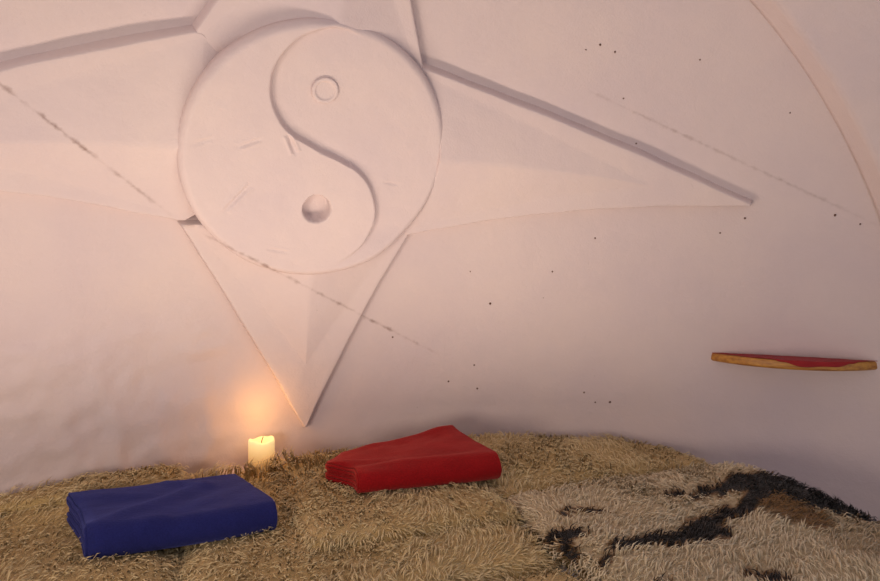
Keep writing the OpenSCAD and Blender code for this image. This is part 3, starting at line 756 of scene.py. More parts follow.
# %% The lie of the wool
# Each dark bar: its two ends in the plan from the dome's centre, half its width, how dark
BARS = [
    (0.575, 1.600, 0.630, 1.632, 0.013, 1.0), (0.630, 1.632, 0.690, 1.590, 0.013, 1.0),
    (0.485, 1.510, 0.560, 1.460, 0.020, 1.0), (0.510, 1.480, 0.490, 1.385, 0.018, 1.0),
    (0.520, 1.308, 0.550, 1.315, 0.015, 1.0), (0.590, 1.340, 0.820, 1.345, 0.022, 1.0),
    (0.740, 1.315, 0.900, 1.345, 0.040, 1.0), (0.820, 1.350, 1.023, 1.420, 0.034, 1.0),
    (1.023, 1.420, 1.230, 1.470, 0.030, 1.0), (0.960, 1.602, 1.080, 1.580, 0.018, 1.0),
    (1.080, 1.580, 1.260, 1.520, 0.030, 1.0), (1.250, 1.540, 1.430, 1.500, 0.085, 1.0),
    (1.320, 1.420, 1.430, 1.330, 0.095, 1.0), (1.180, 1.390, 1.200, 1.280, 0.060, 0.50),
    (1.200, 1.150, 1.400, 1.200, 0.090, 0.22), (0.535, 1.166, 0.565, 1.160, 0.016, 1.0),
    (0.787, 1.108, 0.850, 1.070, 0.022, 1.0)]


def patch_mask(x, y):
    """How dark the wool is: the skin on the right is white with ragged black patches, each
    a bar or several that run together."""
    at = np.stack([x, y, 0 * x], -1)
    x, y = x + 0.016 * cloudy(at, 0.05, 101), y + 0.016 * cloudy(at, 0.05, 102)
    dark = np.zeros_like(x)
    for x1, y1, x2, y2, wide, how in BARS:
        off = near_line(x, y, (x1, y1), (x2, y2))[1]
        dark = np.maximum(dark, how * step(off, wide * 1.25, wide * 0.75))
    return dark


def on_skin(name, x, y):
    """Whether a place of the plan lies on a skin. It does within a rounded box whose edge has
    waves, short of the wall, and clear of the candle's ledge."""
    x1, x2, y1, y2, waves, deep, start = SKINS[name]
    p, q = (x2 - x1) / 2 - 0.002, (y2 - y1) / 2 - 0.002
    dx, dy = x - (x1 + x2) / 2, y - (y1 + y2) / 2
    t = np.arctan2(dy, dx)
    wave = 1 - deep * 0.3 * (0.5 + 0.5 * np.sin(waves * t + math.radians(start)))
    at_ledge = (x > LEDGE_X[0]) & (x < LEDGE_X[1]) & (y > LEDGE_FRONT)
    inside = np.hypot(dx, dy) < rounded_box(t, p, q, 24) * wave
    return inside & (np.hypot(x, y) < ROOM_R - 0.012) & ~at_ledge


def skin_reach(name, t):
    """How far a skin reaches from its middle in each direction t, found by halving the
    distance again and again, and that middle."""
    x1, x2, y1, y2 = SKINS[name][:4]
    x, y = np.meshgrid(np.linspace(x1, x2, 80), np.linspace(y1, y2, 80))
    inside = on_skin(name, x, y)
    cx, cy = x[inside].mean(), y[inside].mean()
    near, far = np.zeros_like(t), np.full_like(t, 2.0)
    for _ in range(16):
        r = (near + far) / 2
        inside = on_skin(name, cx + r * np.cos(t), cy + r * np.sin(t))
        near, far = np.where(inside, r, near), np.where(inside, far, r)
    return near, (cx, cy)


LEDGE_X, LEDGE_FRONT = (-0.354, -0.046), 2.338
THIRD, EDGE, SEAM_Y = 2 * BENCH_X / 6, BENCH_X - 0.008, 1.40
# Each skin: its box in the plan from the dome's centre, then its edge's waves
SKINS = {
    "hide_rear_left": (-EDGE, -THIRD, SEAM_Y, 2.5, 5, 0.05, 0),
    "hide_rear_middle": (-THIRD, THIRD, SEAM_Y, 2.5, 6, 0.05, 40),
    "hide_rear_right": (THIRD, EDGE, SEAM_Y, 2.5, 5, 0.05, 90),
    "hide_front_left": (-EDGE, -THIRD, 0.506, SEAM_Y, 6, 0.05, 20),
    "hide_front_middle": (-THIRD, THIRD, 0.506, SEAM_Y, 5, 0.05, 120),
    "hide_front_right": (THIRD, EDGE, 0.506, SEAM_Y, 6, 0.05, 200),
    "hide_top_left": (0.06 - EDGE, -THIRD, 2.177, 2.5, 5, 0.04, 250),
    "hide_top_middle": (-0.164, THIRD, 1.64, 2.5, 5, 0.05, 60),
    "hide_top_right": (THIRD, EDGE - 0.06, 1.828, 2.5, 5, 0.05, 150),
    "hide_top_patched": (THIRD, EDGE, 0.90, 1.828, 6, 0.06, 10),
}
print(len(SKINS), "skins")

# %% [markdown]
# Wool is matte with a soft sheen at a low angle, from the many fibres that stand up to the
# light. It is darker at the root, partly for grease, which yellows it, and partly as painted
# shade for the shade that falls deep in the fleece, and paler at the tip. Each point of a lock
# carries how near it is to the tip, and each lock has its own tone.

# %% Wool material
def wool(name, root, tip, dark, body):
    """Sheep's wool; `body` adds the bump of the wool between the locks."""
    material, shader, place = new_material(name)
    near_tip, tone, black = (add(place, "Attribute", out="Fac", attribute_name=stored)
                             for stored in ("tip", "tone", "dark"))
    patchy = add(place, "TexNoise", {"Vector": place, "Scale": 1 / 0.12, "Detail": 3.0})
    paler = add(place, "Math", {0: tone, 1: 0.5, 2: near_tip}, operation="MULTIPLY_ADD")
    paler = add(place, "Math", {0: patchy, 1: 0.9, 2: paler}, operation="MULTIPLY_ADD")
    # The root colour is partly painted shade: grease yellows the wool, and the darkening also
    # stands in for the shade deep in the fleece.
    colour = hue(root)
    for value, start, end, toward in ((paler, 0.35, 1.75, tip), (black, 0.05, 0.5, "#86663F"),
                                      (black, 0.5, 0.9, dark)):
        share = add(place, "MapRange", {"Value": value, "From Min": start, "From Max": end})
        colour = add(place, "Mix", {0: share, 6: colour, 7: hue(toward)}, out=2,
                     data_type="RGBA")
    connect(shader, {"Base Color": colour, "Roughness": 0.75, "Specular IOR Level": 0.2,
                     "Sheen Weight": 0.15, "Sheen Roughness": 0.5})
    if body:
        curls = add(place, "TexNoise", {"Vector": place, "Scale": 1 / 0.012, "Detail": 4.0,
                                        "Distortion": 1.5})
        connect(shader, {"Normal": add(place, "Bump", {"Height": curls, "Distance": 0.012})})
    return material


# The wool between the locks is darker than the locks, partly as painted shade under them.
CREAM_BODY = wool("sheep's wool, cream, between locks", "#B29256", "#DBC28B", "#1E140E", True)
CREAM_LOCKS = wool("sheep's wool, cream locks", "#BFA168", "#EDDAAC", "#1E140E", False)
WHITE_BODY = wool("sheep's wool, white, between locks", "#B7A078", "#DBCAA6", "#17100C", True)
WHITE_LOCKS = wool("sheep's wool, white locks", "#C6B086", "#EFE2C4", "#1B120D", False)
print("4 wool materials")

# %% [markdown]
# The body is carried round the skin's outline: a flat underside, and a top that follows
# (1 - k^10)^(1/2) from its middle, k = 0, to its edge, k = 1. That's flat for most of the way
# and then rounds down steeply. Low lumps a hand wide show where the wool has been sat on.

# %% The body of a skin
def skin_top(name, k, t):
    """Points on top of a skin at the share k of its reach in the direction t, and outward
    directions there."""
    low, high = (c.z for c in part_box(name))
    reach, (cx, cy) = skin_reach(name, t)
    x, y = cx + k * reach * np.cos(t), cy + k * reach * np.sin(t)
    at = np.stack([x, y, 0 * x], -1)
    lumps = 0.010 + 0.010 * cloudy(at, 0.17, 111) + 0.005 * cloudy(at, 0.06, 112)
    if name == "hide_top_right":
        lumps = lumps + 0.022 * step(y, 1.86, 2.1) * step(x, 1.3, 1.0)
    if name == "hide_top_patched":
        lumps = lumps + 0.040 * np.exp(-((x - 1.36) / 0.17) ** 2 - ((y - 1.52) / 0.17) ** 2)
    if name in ("hide_rear_left", "hide_rear_middle", "hide_top_middle"):
        lumps = lumps + 0.032 * np.exp(-((x + 0.16) / 0.22) ** 2 - ((y - 2.30) / 0.08) ** 2)
    if name in ("hide_rear_left", "hide_top_left"):
        lumps = lumps + 0.026 * step(y, 2.05, 2.2)
    z = low + (high - low + lumps) * np.sqrt(np.maximum(1 - k ** 10, 0))
    lean = 1.6 * k ** 9
    out = np.stack([np.cos(t) * lean, np.sin(t) * lean, np.ones_like(x)], -1)
    return np.stack([x, y + DOME[1], z], -1), unit(out)


def skin_body(name, rows=19, cols=168):
    """Loops from the middle of the underside out to the edge, and back over the top."""
    t = circle(cols)
    k = 1 - (1 - np.linspace(0.002, 1, rows)) ** 1.9
    top, _ = skin_top(name, k[:, None], np.broadcast_to(t, (rows, cols)))
    under = top[[0, rows // 2, rows - 2]].copy()
    under[..., 2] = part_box(name)[0].z
    return np.concatenate([under, top[::-1]])


# %% [markdown]
# A quarter of the locks stand along the skin's edge. They're longer and point outwards and
# down, so they hide the gap to the next skin. None grow under another skin, and those in
# front of the candle's ledge stand up.

# %% Where the locks grow
def lock_roots(name, count, rng):
    """Each lock's direction t and share k of the reach there, and whether it's at the edge."""
    t = rng.uniform(0, 2 * math.pi, count * 9)
    k = np.sqrt(rng.uniform(0, 1, count * 9))
    edge = np.arange(len(t)) % 4 == 0
    k = np.where(edge, 1 - 0.10 * rng.uniform(0, 1, len(t)) ** 1.5, k)
    reach, (cx, cy) = skin_reach(name, t)
    keep = rng.uniform(0, reach.max(), len(t)) < reach
    x, y = cx + k * reach * np.cos(t), cy + k * reach * np.sin(t)
    for other in SKINS:
        if "top" in other and "top" not in name:
            keep &= ~on_skin(other, x, y)
    return t[keep][:count], k[keep][:count], edge[keep][:count]


# %% The locks of a skin
def locks(name, count, seed, long=0.036, wide=0.0044, group_wide=0.032):
    """Bent spikes with triangular sections. A root's direction follows slow swirls over the
    skin, and its tip is drawn a third of the way to the tip that all the roots of one group
    share. Returns points, faces, a tone a point, and how near each is to the tip."""
    rng = np.random.default_rng(seed)
    t, k, edge = lock_roots(name, count, rng)
    root, out = skin_top(name, k, t)
    group = np.floor(root[:, :2] / group_wide + 0.6 * cloudy(root, 0.04, 121)[:, None])
    mixed = np.abs(np.sin(group @ [12.9898, 78.233]) * 43758.5453) % 1
    swirl = 5.0 * cloudy(root, 0.35, 122) + (mixed - 0.5) * 1.6
    turn = swirl + rng.normal(0, 0.35, len(t))
    lean = np.stack([np.cos(turn), np.sin(turn), 0 * turn], -1)
    outward = np.stack([np.cos(t), np.sin(t), 0 * t - 0.25], -1)
    lean = np.where(edge[:, None], lean * 0.5 + outward, lean)
    lean = unit(lean - out * (lean * out).sum(1, keepdims=True))
    crest = np.exp(-((root[:, 0] + 0.24) / 0.29) ** 2
                   - ((root[:, 1] - DOME[1] - 2.30) / 0.07) ** 2)
    size = long * (rng.uniform(0.65, 1.2, len(t)) + 0.45 * edge + 0.65 * crest)[:, None]
    up = rng.uniform(0.25, 0.75, len(t))[:, None] * (0.75 + 0.5 * mixed[:, None])
    up = up + 0.9 * crest[:, None]
    bend = root + size * (0.55 * up * out + 0.40 * lean)
    tip = bend + size * (0.10 * up * out + 0.50 * lean) + rng.normal(0, 0.003, bend.shape)
    centre = (group + 0.5) * group_wide + 0.02 * ray(swirl)
    tip[:, :2] += (centre - tip[:, :2]) * 0.30
    flat = np.cross(out, lean)
    flat /= np.linalg.norm(flat, axis=1, keepdims=True) + 1e-9
    half = wide * rng.uniform(0.6, 1.3, len(t))[:, None] / 2
    ring = np.stack([flat, -flat, out * 0.9], 1) * half[:, None]
    points = np.concatenate([(root - out * 0.006)[:, None] + ring, bend[:, None] + ring * 0.85,
                             tip[:, None]], 1)
    first = np.arange(len(t))[:, None] * 7
    sides = np.array([[0, 1, 4, 3], [1, 2, 5, 4], [2, 0, 3, 5]])
    ends = np.array([[0, 2, 1], [3, 4, 6], [4, 5, 6], [5, 3, 6]])
    faces = [(first + f).reshape(-1, len(f)) for f in (*sides, *ends)]
    tone = np.repeat(rng.uniform(0, 1, len(t)), 7)
    near = np.tile([0, 0, 0, 0.55, 0.55, 0.55, 1.0], len(t))
    return points.reshape(-1, 3), faces, tone, near


# %% Every skin
LOCKS = {"hide_rear_left": 5400, "hide_rear_middle": 5400, "hide_rear_right": 700,
         "hide_front_left": 2000, "hide_front_middle": 3600, "hide_front_right": 1300,
         "hide_top_left": 1400, "hide_top_middle": 5200, "hide_top_right": 4400,
         "hide_top_patched": 8600}
for seed, (name, count) in enumerate(LOCKS.items()):
    patched = name == "hide_top_patched"
    body = put("skin_" + name[5:], *tube(skin_body(name)), WHITE_BODY if patched else CREAM_BODY)
    at = np.array([v.co for v in body.data.vertices])
    # The body is coloured a third of the way from root to tip, partly as painted shade under the
    # locks.
    paint(body, "tip", 0.35 + 0 * at[:, 0])
    paint(body, "tone", 0.5 + 0.5 * cloudy(at, 0.03, 131))
    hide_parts(name)
    points, faces, tone, near = locks(name, count, 200 + seed)
    tuft = put("wool_" + name[5:], points, faces, WHITE_LOCKS if patched else CREAM_LOCKS)
    paint(tuft, "tip", near)
    paint(tuft, "tone", tone)
    for piece, where in ((body, at), (tuft, points)):
        dark = patch_mask(where[:, 0], where[:, 1] - DOME[1]) if patched else 0 * where[:, 0]
        paint(piece, "dark", dark)

# %% [markdown]
# ## The two blankets
# Each blanket is one sheet of fleece, about 1.5 by 1.4 m, folded in three one way and in four
# the other. The first folds turn the way across the sheet into a place x and a layer; the
# second ones carry those layers along a path with round turns.

# %% Folding a sheet
def runs(steps):
    """A path of straight runs and half turns, as points and unit normals. A run is its length
    and the spacing of its points; a turn is its radius, its side and its number of points."""
    place, heading, points, normals = np.zeros(2), 0.0, [], []
    for kind, size, way, gap in steps:
        if kind == "run":
            count = max(2, int(round(size / gap)))
            s = np.linspace(0, size, count + 1)[:-1]
            ahead = np.array([math.cos(heading), math.sin(heading)])
            points.append(place + s[:, None] * ahead)
            normals.append(np.tile([-ahead[1], ahead[0]], (count, 1)))
            place = place + size * ahead
        else:
            a = np.linspace(0, math.pi, gap + 1)[:-1] * way
            side_way = np.array([-math.sin(heading), math.cos(heading)]) * way
            centre = place + size * side_way
            turned = heading + a
            n = np.stack([-np.sin(turned), np.cos(turned)], -1)
            points.append(centre - n * size * way)
            normals.append(n)
            place = centre + size * side_way
            heading += math.pi * way
    points.append(place[None])
    normals.append(np.array([[-math.sin(heading), math.cos(heading)]]))
    return np.concatenate(points), np.concatenate(normals)


def folded_sheet(wide, deep, high):
    """Points of the folded sheet, on a grid of places along it by places across it, and its
    flat size. The path of the second folds gives y and height, and the layer of the first
    folds is an offset along that path's normal."""
    ply, stack = high / (3 * 4), high / 4
    r = ply / 2
    w = wide - 2 * r
    across, _ = runs([("run", w, 1, 0.0075), ("turn", r, 1, 5), ("run", w, 1, 0.020),
                      ("turn", r, -1, 5), ("run", w, 1, 0.030)])
    x, layer = w / 2 - across[:, 0], across[:, 1] - ply
    long_run = deep - 3 * stack
    path, normal = runs([("run", long_run + 0.3 * stack, 1, 0.026), ("turn", 1.5 * stack, 1, 16),
                         ("run", long_run, 1, 0.0075), ("turn", 0.5 * stack, 1, 7),
                         ("run", long_run, 1, 0.024), ("turn", 0.5 * stack, -1, 6),
                         ("run", long_run + 0.2 * stack, 1, 0.026)])
    y, z = path[:, 0], path[:, 1] + stack / 2
    y = -(y - (y.max() + y.min()) / 2)
    ny, nz = -normal[:, 0], normal[:, 1]
    points = np.stack(np.broadcast_arrays(x[None], y[:, None] - ny[:, None] * layer,
                                          z[:, None] - nz[:, None] * layer), -1)
    length = np.linalg.norm(np.diff(path, axis=0), axis=1).sum()
    width = np.linalg.norm(np.diff(across, axis=0), axis=1).sum()
    return points, (float(width), float(length))


print("a sheet folded to 56 by 36 cm is", folded_sheet(0.56, 0.36, 0.100)[1], "m flat")

# %% [markdown]
# A folded blanket isn't a box. It is pulled askew as it's laid down, it is thinner where hands
# pressed it, and soft ridges run over its top. All of its layers take part in that, so
# the script moves space itself: every point goes to a place between four corners, its height
# is scaled, and the ridges lift the layers above more than those below.

# %% Laying a folded sheet down
def ridge(u, v, u1, v1, u2, v2, wide, high):
    """A soft ridge along a line of the blanket's top: high exp(-(distance / wide) ^ 2)."""
    t, off = near_line(u, v, (u1, v1), (u2, v2))
    return high * np.exp(-(off / wide) ** 2) * (0.4 + 2.4 * t * (1 - t))


def laid_down(points, wide, deep, high, corners, floor, thick, ridges, pulls):
    """corners: front left, front right, back right, back left in the plan. thick: height
    factors at those corners. pulls: (u, v, reach, dx, dy) drags a spot of the blanket."""
    u, v, w = points[..., 0] / wide + 0.5, points[..., 1] / deep + 0.5, points[..., 2] / high
    weights = np.stack([(1 - u) * (1 - v), u * (1 - v), u * v, (1 - u) * v], -1)
    plan = weights @ np.array(corners)
    for pu, pv, reach, dx, dy in pulls:
        near = np.exp(-(((u - pu) / reach) ** 2 + ((v - pv) / reach) ** 2))
        plan = plan + near[..., None] * np.array([dx, dy])
    factor = np.clip(weights, 0, 1) @ np.array(thick)
    lift = sum(ridge(u, v, *r) for r in ridges)
    at = np.stack([plan[..., 0], plan[..., 1], 0 * u], -1)
    lift = lift + 0.004 * cloudy(at, 0.09, 141) + 0.0018 * cloudy(at, 0.04, 142)
    z = floor + w * high * factor + lift * w
    return np.stack([plan[..., 0], plan[..., 1] + DOME[1], z], -1)


# %% [markdown]
# Fleece is a knitted polyester whose surface is brushed up into a short nap. It has no shine
# of its own, but the nap catches light at a low angle, which is the shader's sheen. The nap's
# tufts are about a millimetre wide, and they're drawn 4 mm wide here so that they show.

# %% Fleece material
def fleece(name, colour, deeper, sheen):
    """Fleece worn unevenly between two colours, with a nap and its sheen in a third."""
    material, shader, place = new_material(name)
    worn = add(place, "TexNoise", {"Vector": place, "Scale": 1 / 0.09, "Detail": 4.0})
    nap = add(place, "TexNoise", {"Vector": place, "Scale": 1 / 0.004, "Detail": 2.0})
    tint = add(place, "Mix", {0: worn, 6: hue(deeper), 7: hue(colour)}, out=2, data_type="RGBA")
    tufts = add(place, "MapRange", {"Value": nap, "From Min": 0.3, "From Max": 0.7,
                                    "To Min": 0.82, "To Max": 1.12})
    both = add(place, "VectorMath", {0: tint, 1: tufts}, operation="MULTIPLY")
    low = add(place, "Bump", {"Height": worn, "Distance": 0.006})
    high = add(place, "Bump", {"Height": nap, "Distance": 0.0018, "Normal": low})
    connect(shader, {"Base Color": both, "Normal": high, "Roughness": 0.9,
                     "Specular IOR Level": 0.15, "Sheen Weight": 0.55,
                     "Sheen Roughness": 0.45, "Sheen Tint": hue(sheen)})
    return material


BLUE_FLEECE = fleece("brushed fleece, navy", "#272C70", "#1C1F55", "#6F78C8")
RED_FLEECE = fleece("brushed fleece, red", "#A01218", "#7E0C12", "#E07A70")


def blanket(name, node, rests_on, slot, material, wide, deep, high, thick_cloth, **lie):
    """A folded sheet laid down, and made a cloth of its thickness."""
    flat_points, flat_size = folded_sheet(wide, deep, high)
    points = laid_down(flat_points, wide, deep, high, **lie)
    piece = put(name, points, [grid_faces(*points.shape[:2])], material)
    thicken(piece, thick_cloth)
    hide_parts(node)
    print(name, "was", [round(s, 2) for s in flat_size], "m before it was folded")
    return piece


# %% The two blankets
blanket("blanket_navy", "blanket_blue", ["hide_rear_left", "hide_rear_middle"], "blue_fleece",
        BLUE_FLEECE, 0.50, 0.365, 0.094, 0.0042,
        corners=[(-0.690, 1.777), (-0.195, 1.795), (-0.315, 2.150), (-0.785, 2.115)],
        floor=0.514, thick=[1.0, 0.92, 0.92, 0.98],
        ridges=[(0.03, 0.10, 0.80, 0.78, 0.055, 0.012), (0.25, 0.02, 0.98, 0.62, 0.05, 0.006),
                (0.52, 0.98, 0.78, 0.68, 0.04, 0.010), (0.42, 0.10, 0.52, 0.30, 0.05, -0.008),
                (0.05, 0.80, 0.45, 0.62, 0.07, 0.006)],
        pulls=[(1.0, 0.0, 0.16, -0.018, 0.018), (0.0, 0.45, 0.3, 0.010, 0.0)])
blanket("blanket_deep_red", "blanket_red", ["hide_top_middle", "hide_top_right"], "red_fleece",
        RED_FLEECE, 0.47, 0.345, 0.092, 0.0038,
        corners=[(0.045, 1.925), (0.535, 1.875), (0.478, 2.255), (0.060, 2.235)],
        floor=0.548, thick=[0.75, 0.88, 1.22, 0.62],
        ridges=[(0.05, 0.22, 0.98, 0.15, 0.07, 0.012), (0.70, 0.98, 0.97, 0.95, 0.10, 0.012),
                (0.10, 0.85, 0.36, 0.98, 0.07, 0.010), (0.38, 0.90, 0.55, 0.75, 0.06, -0.006),
                (0.02, 0.55, 0.35, 0.30, 0.06, 0.008)],
        pulls=[(0.0, 0.62, 0.22, -0.075, 0.0), (1.0, 0.0, 0.14, -0.012, 0.016)])

# %% [markdown]
# ## The candle
# A thick candle burns down in its middle first, so its glowing rim stands over a pool of wax.
# Wax lets light through, and the flame behind the rim makes the whole candle shine. That is
# drawn as a little light from the wax itself, most of it near the top.

# %% Candle
def lathe(profile, cols, centre):
    """Loops round an upright axis: each (r, z) of the profile becomes a circle."""
    r, z = np.array(profile).T[:, :, None, None]
    return np.concatenate([r * ray(circle(cols)) + centre, np.repeat(z, cols, 1)], -1)


wax, shader, place = new_material("candle wax, lit from inside")
height = add(place, "SeparateXYZ", {"Vector": place}, out="Z")
top_part = {"Value": height, "From Min": 0.52, "From Max": 0.63}
near_top = add(place, "MapRange", top_part)
power = add(place, "MapRange", {**top_part, "To Min": 0.30, "To Max": 0.75})
glow = add(place, "Mix", {0: near_top, 6: hue("#E8933A"), 7: hue("#FFE2A0")}, out=2,
           data_type="RGBA")
drips = add(place, "TexNoise", {"Vector": place, "Scale": 1 / 0.02, "Detail": 2.0})
connect(shader, {"Emission Color": glow, "Emission Strength": power,
                 "Normal": add(place, "Bump", {"Height": drips, "Distance": 0.002}),
                 "Base Color": hue("#D9C08A"), "Roughness": 0.45, "IOR": 1.44})

lo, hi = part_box("candle_wax")
cx, cy = (lo.x + hi.x) / 2, (lo.y + hi.y) / 2
profile = [(0.001, 0.5185), (0.030, 0.5185), (0.044, 0.5187), (0.0468, 0.5215)]
profile += [(0.0472, z) for z in np.linspace(0.525, 0.622, 12)]
profile += [(0.0466, 0.6275), (0.0448, 0.6310), (0.0420, 0.6325), (0.0390, 0.6318),
            (0.0350, 0.6290), (0.0320, 0.6245), (0.0300, 0.6195), (0.0270, 0.6175),
            (0.0150, 0.6168), (0.001, 0.6168)]
loops = lathe(profile, 96, (cx, cy))
angle = np.arctan2(loops[..., 1] - cy, loops[..., 0] - cx)
top = step(loops[..., 2], 0.60, 0.632)
loops[..., 2] += top * (0.0035 * np.sin(angle * 2 + 0.7) + 0.002 * np.sin(angle * 5) - 0.004)
out = 1 + 0.012 * cloudy(loops * [1, 1, 0.35], 0.02, 151)[..., None] - 0.010
loops[..., :2] = (loops[..., :2] - [cx, cy]) * out + [cx, cy]
candle = put("candle_pillar", *tube(loops), wax)
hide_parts("candle_wax")

# %% Wick
char, shader, place = new_material("burnt cotton wick")
fuzz = add(place, "TexNoise", {"Vector": place, "Scale": 1 / 0.0015})
tint = add(place, "Mix", {0: fuzz, 6: hue("#17110D"), 7: hue("#4A382A")}, out=2, data_type="RGBA")
connect(shader, {"Base Color": tint, "Roughness": 0.95})
z = np.linspace(0.614, 0.6365, 12)
loops = lathe([(0.0016, k) for k in z], 10, (cx, cy))
loops[..., 0] += (0.006 * ((z - 0.614) / 0.0225) ** 2)[:, None]
wick = put("candle_burnt_wick", *tube(loops), char)
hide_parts("candle_wick")

# %% [markdown]
# ## The shelf
# A round slab of pine is pushed into a slot in the wall, and a red cotton cloth lies on it.
# The slab's grain runs along its length, so the noise that draws it is stretched that way.

# %% Shelf board
BOARD_TURN, BOARD_R, BOARD_OUT = math.radians(43.1), 0.390, 2.725
BACK_OUT = 0.120
OUTWARD = np.array([math.sin(BOARD_TURN), math.cos(BOARD_TURN)])
ALONG = np.array([math.cos(BOARD_TURN), -math.sin(BOARD_TURN)])
BOARD_MID = BOARD_OUT * OUTWARD + [0, DOME[1]]


def on_board(side_way, out_way):
    """Plan places from distances along the board and away from the room."""
    return BOARD_MID + side_way[..., None] * ALONG + out_way[..., None] * OUTWARD


pine, shader, place = new_material("pine board, oiled, honey brown")
turned = add(place, "Mapping", {"Vector": place, "Rotation": (0, 0, BOARD_TURN)})
grain = add(place, "Mapping", {"Vector": turned, "Scale": (0.09, 1.0, 1.0)})
rings = add(place, "TexNoise", {"Vector": grain, "Scale": 1 / 0.012, "Detail": 4.0,
                                "Roughness": 0.6})
fibre = add(place, "TexNoise", {"Vector": grain, "Scale": 1 / 0.0025, "Detail": 2.0})
share = add(place, "MapRange", {"Value": rings, "From Min": 0.35, "From Max": 0.65})
tint = add(place, "Mix", {0: share, 6: hue("#BF8A3C"), 7: hue("#96602A")}, out=2,
           data_type="RGBA")
connect(shader, {"Base Color": tint, "Roughness": 0.45,
                 "Normal": add(place, "Bump", {"Height": fibre, "Distance": 0.0008})})
half_angle = math.acos(BACK_OUT / BOARD_R)
t = np.linspace(-half_angle, half_angle, 200)
arc = on_board(BOARD_R * np.sin(t), -BOARD_R * np.cos(t))
points = block(outline_points(arc, 200), 0.885, 0.917, 0.007, 3, 4, lower_edge=0.010)
points[..., 2] -= 0.0004
board = put("pine_shelf", *tube(points), pine)
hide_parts("shelf_board")

# %% [markdown]
# The cloth is one piece of woven cotton that follows the wall at its back. It hangs a finger's
# width over the front edge on the right, and on the left it ends short of the edge. Its threads
# lie half a millimetre apart, and they're drawn 3 mm apart here so that they show.

# %% Cloth on the shelf
cotton, shader, place = new_material("woven cotton, red")
thread = add(place, "TexWave", {"Vector": place, "Scale": 1 / 0.010, "Distortion": 2.0},
             out="Fac", wave_type="BANDS")
worn = add(place, "TexNoise", {"Vector": place, "Scale": 1 / 0.05, "Detail": 3.0})
tint = add(place, "Mix", {0: worn, 6: hue("#7C0F16"), 7: hue("#A81B22")}, out=2, data_type="RGBA")
connect(shader, {"Base Color": tint, "Roughness": 0.85, "Sheen Weight": 0.05,
                 "Normal": add(place, "Bump", {"Height": thread, "Distance": 0.0006})})

side_way = np.linspace(-0.275, 0.275, 120)
back = np.sqrt(2.452 ** 2 - side_way ** 2) - BOARD_OUT
front = -np.sqrt((BOARD_R - 0.004) ** 2 - side_way ** 2)
front = np.minimum(front + 0.010 * step(side_way, -0.02, -0.14) * (
    1 + 0.4 * np.sin(side_way * 60)), back - 0.004)
share = np.linspace(0, 1, 22)[:, None]
out_way = back + (front - back) * share
at = np.stack(np.broadcast_arrays(side_way, out_way, 0.0), -1)
height = 0.9186 + 0.0006 * np.sin(side_way * 55) * share + 0.0007 * cloudy(at, 0.04, 161)
print("it lies from", back.max().round(3), "to", front.min().round(3), "m of the board's middle")

# %% The cloth's hanging edge
drop = 0.019 * step(side_way, -0.06, 0.02) * step(side_way, 0.21, 0.13) * (
    1 + 0.12 * np.sin(side_way * 48))
turn = np.linspace(0, math.pi / 2, 5)[1:, None]
round_out, round_down = front - 0.0055 * np.sin(turn), height[-1] - 0.0055 * (1 - np.cos(turn))
fall = np.linspace(0, 1, 7)[1:, None]
hang_out = round_out[-1] - 0.0015 * np.sin(side_way * 70) * fall - 0.001
hang_down = round_down[-1] - np.maximum(drop - 0.006, 0) * fall
over_out = np.concatenate([round_out, hang_out])
over_down = np.concatenate([round_down, hang_down])
has_drop = step(side_way, -0.065, -0.045) * step(side_way, 0.215, 0.19)
out_way = np.concatenate([out_way, front + (over_out - front) * has_drop])
height = np.concatenate([height, height[-1] + (over_down - height[-1]) * has_drop])
plan = on_board(np.broadcast_to(side_way, out_way.shape), out_way)
points = np.concatenate([plan, height[..., None]], -1)
cloth = put("cotton_cloth", points, [grid_faces(*points.shape[:2])], cotton)
thicken(cloth, 0.0016)
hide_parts("shelf_cloth")

# %% [markdown]
# ## Crumbs
# Grit and bits of ice stick to the wall where the seams break open. They're small faceted
# lumps, each a jittered double pyramid.

# %% Crumbs of grit on the wall
CRUMBS = np.array([
    (646, -446), (751, -194), (1106, -231), (971, -400), (745, -570), (731, -936), (1179, -892),
    (1230, -926), (1290, -913), (-404, 251), (869, 468), (909, 495), (966, 482), (1593, 420),
    (1245, 521), (1608, -12), (1961, 91), (1877, 97), (-757, 27), (-726, -11), (-626, -63),
    (-687, -29), (-745, 60), (-551, -148), (-477, -220)]) / 1000
rng = np.random.default_rng(171)
lump = np.array([(1, 0, 0), (0, 1, 0), (-1, 0, 0), (0, -1, 0), (0, 0, 1), (0, 0, -1)])
sides = np.array([(0, 1, 4), (1, 2, 4), (2, 3, 4), (3, 0, 4), (1, 0, 5), (2, 1, 5), (3, 2, 5),
                  (0, 3, 5)])
sizes = rng.uniform(0.0028, 0.0062, len(CRUMBS))
middle = on_map(CRUMBS[:, 0], CRUMBS[:, 1], 0.0 * sizes)
middle = middle + toward_room(middle) * (rubbed(middle) + 0.001)[:, None]
points = middle[:, None] + lump * sizes[:, None, None] * rng.uniform(0.7, 1.3, (len(CRUMBS), 6, 1))
faces = (np.arange(len(CRUMBS))[:, None, None] * 6 + sides).reshape(-1, 3)
grit, shader, place = new_material("grit frozen into snow")
uneven = add(place, "TexNoise", {"Vector": place, "Scale": 1 / 0.004})
tint = add(place, "Mix", {0: uneven, 6: hue("#3A2418"), 7: hue("#6E4A36")}, out=2,
           data_type="RGBA")
connect(shader, {"Base Color": tint, "Roughness": 0.8})
crumbs = put("wall_grit", points, [faces], grit, smooth=False)

# %% [markdown]
# ## Camera, floor and light
# The photograph was taken from a level camera 1.3 m above the floor, turned 20.5 degrees to
# the right. Its horizon is a little above the middle of the frame, which a small downward
# shift gives without tilting the upright lines.

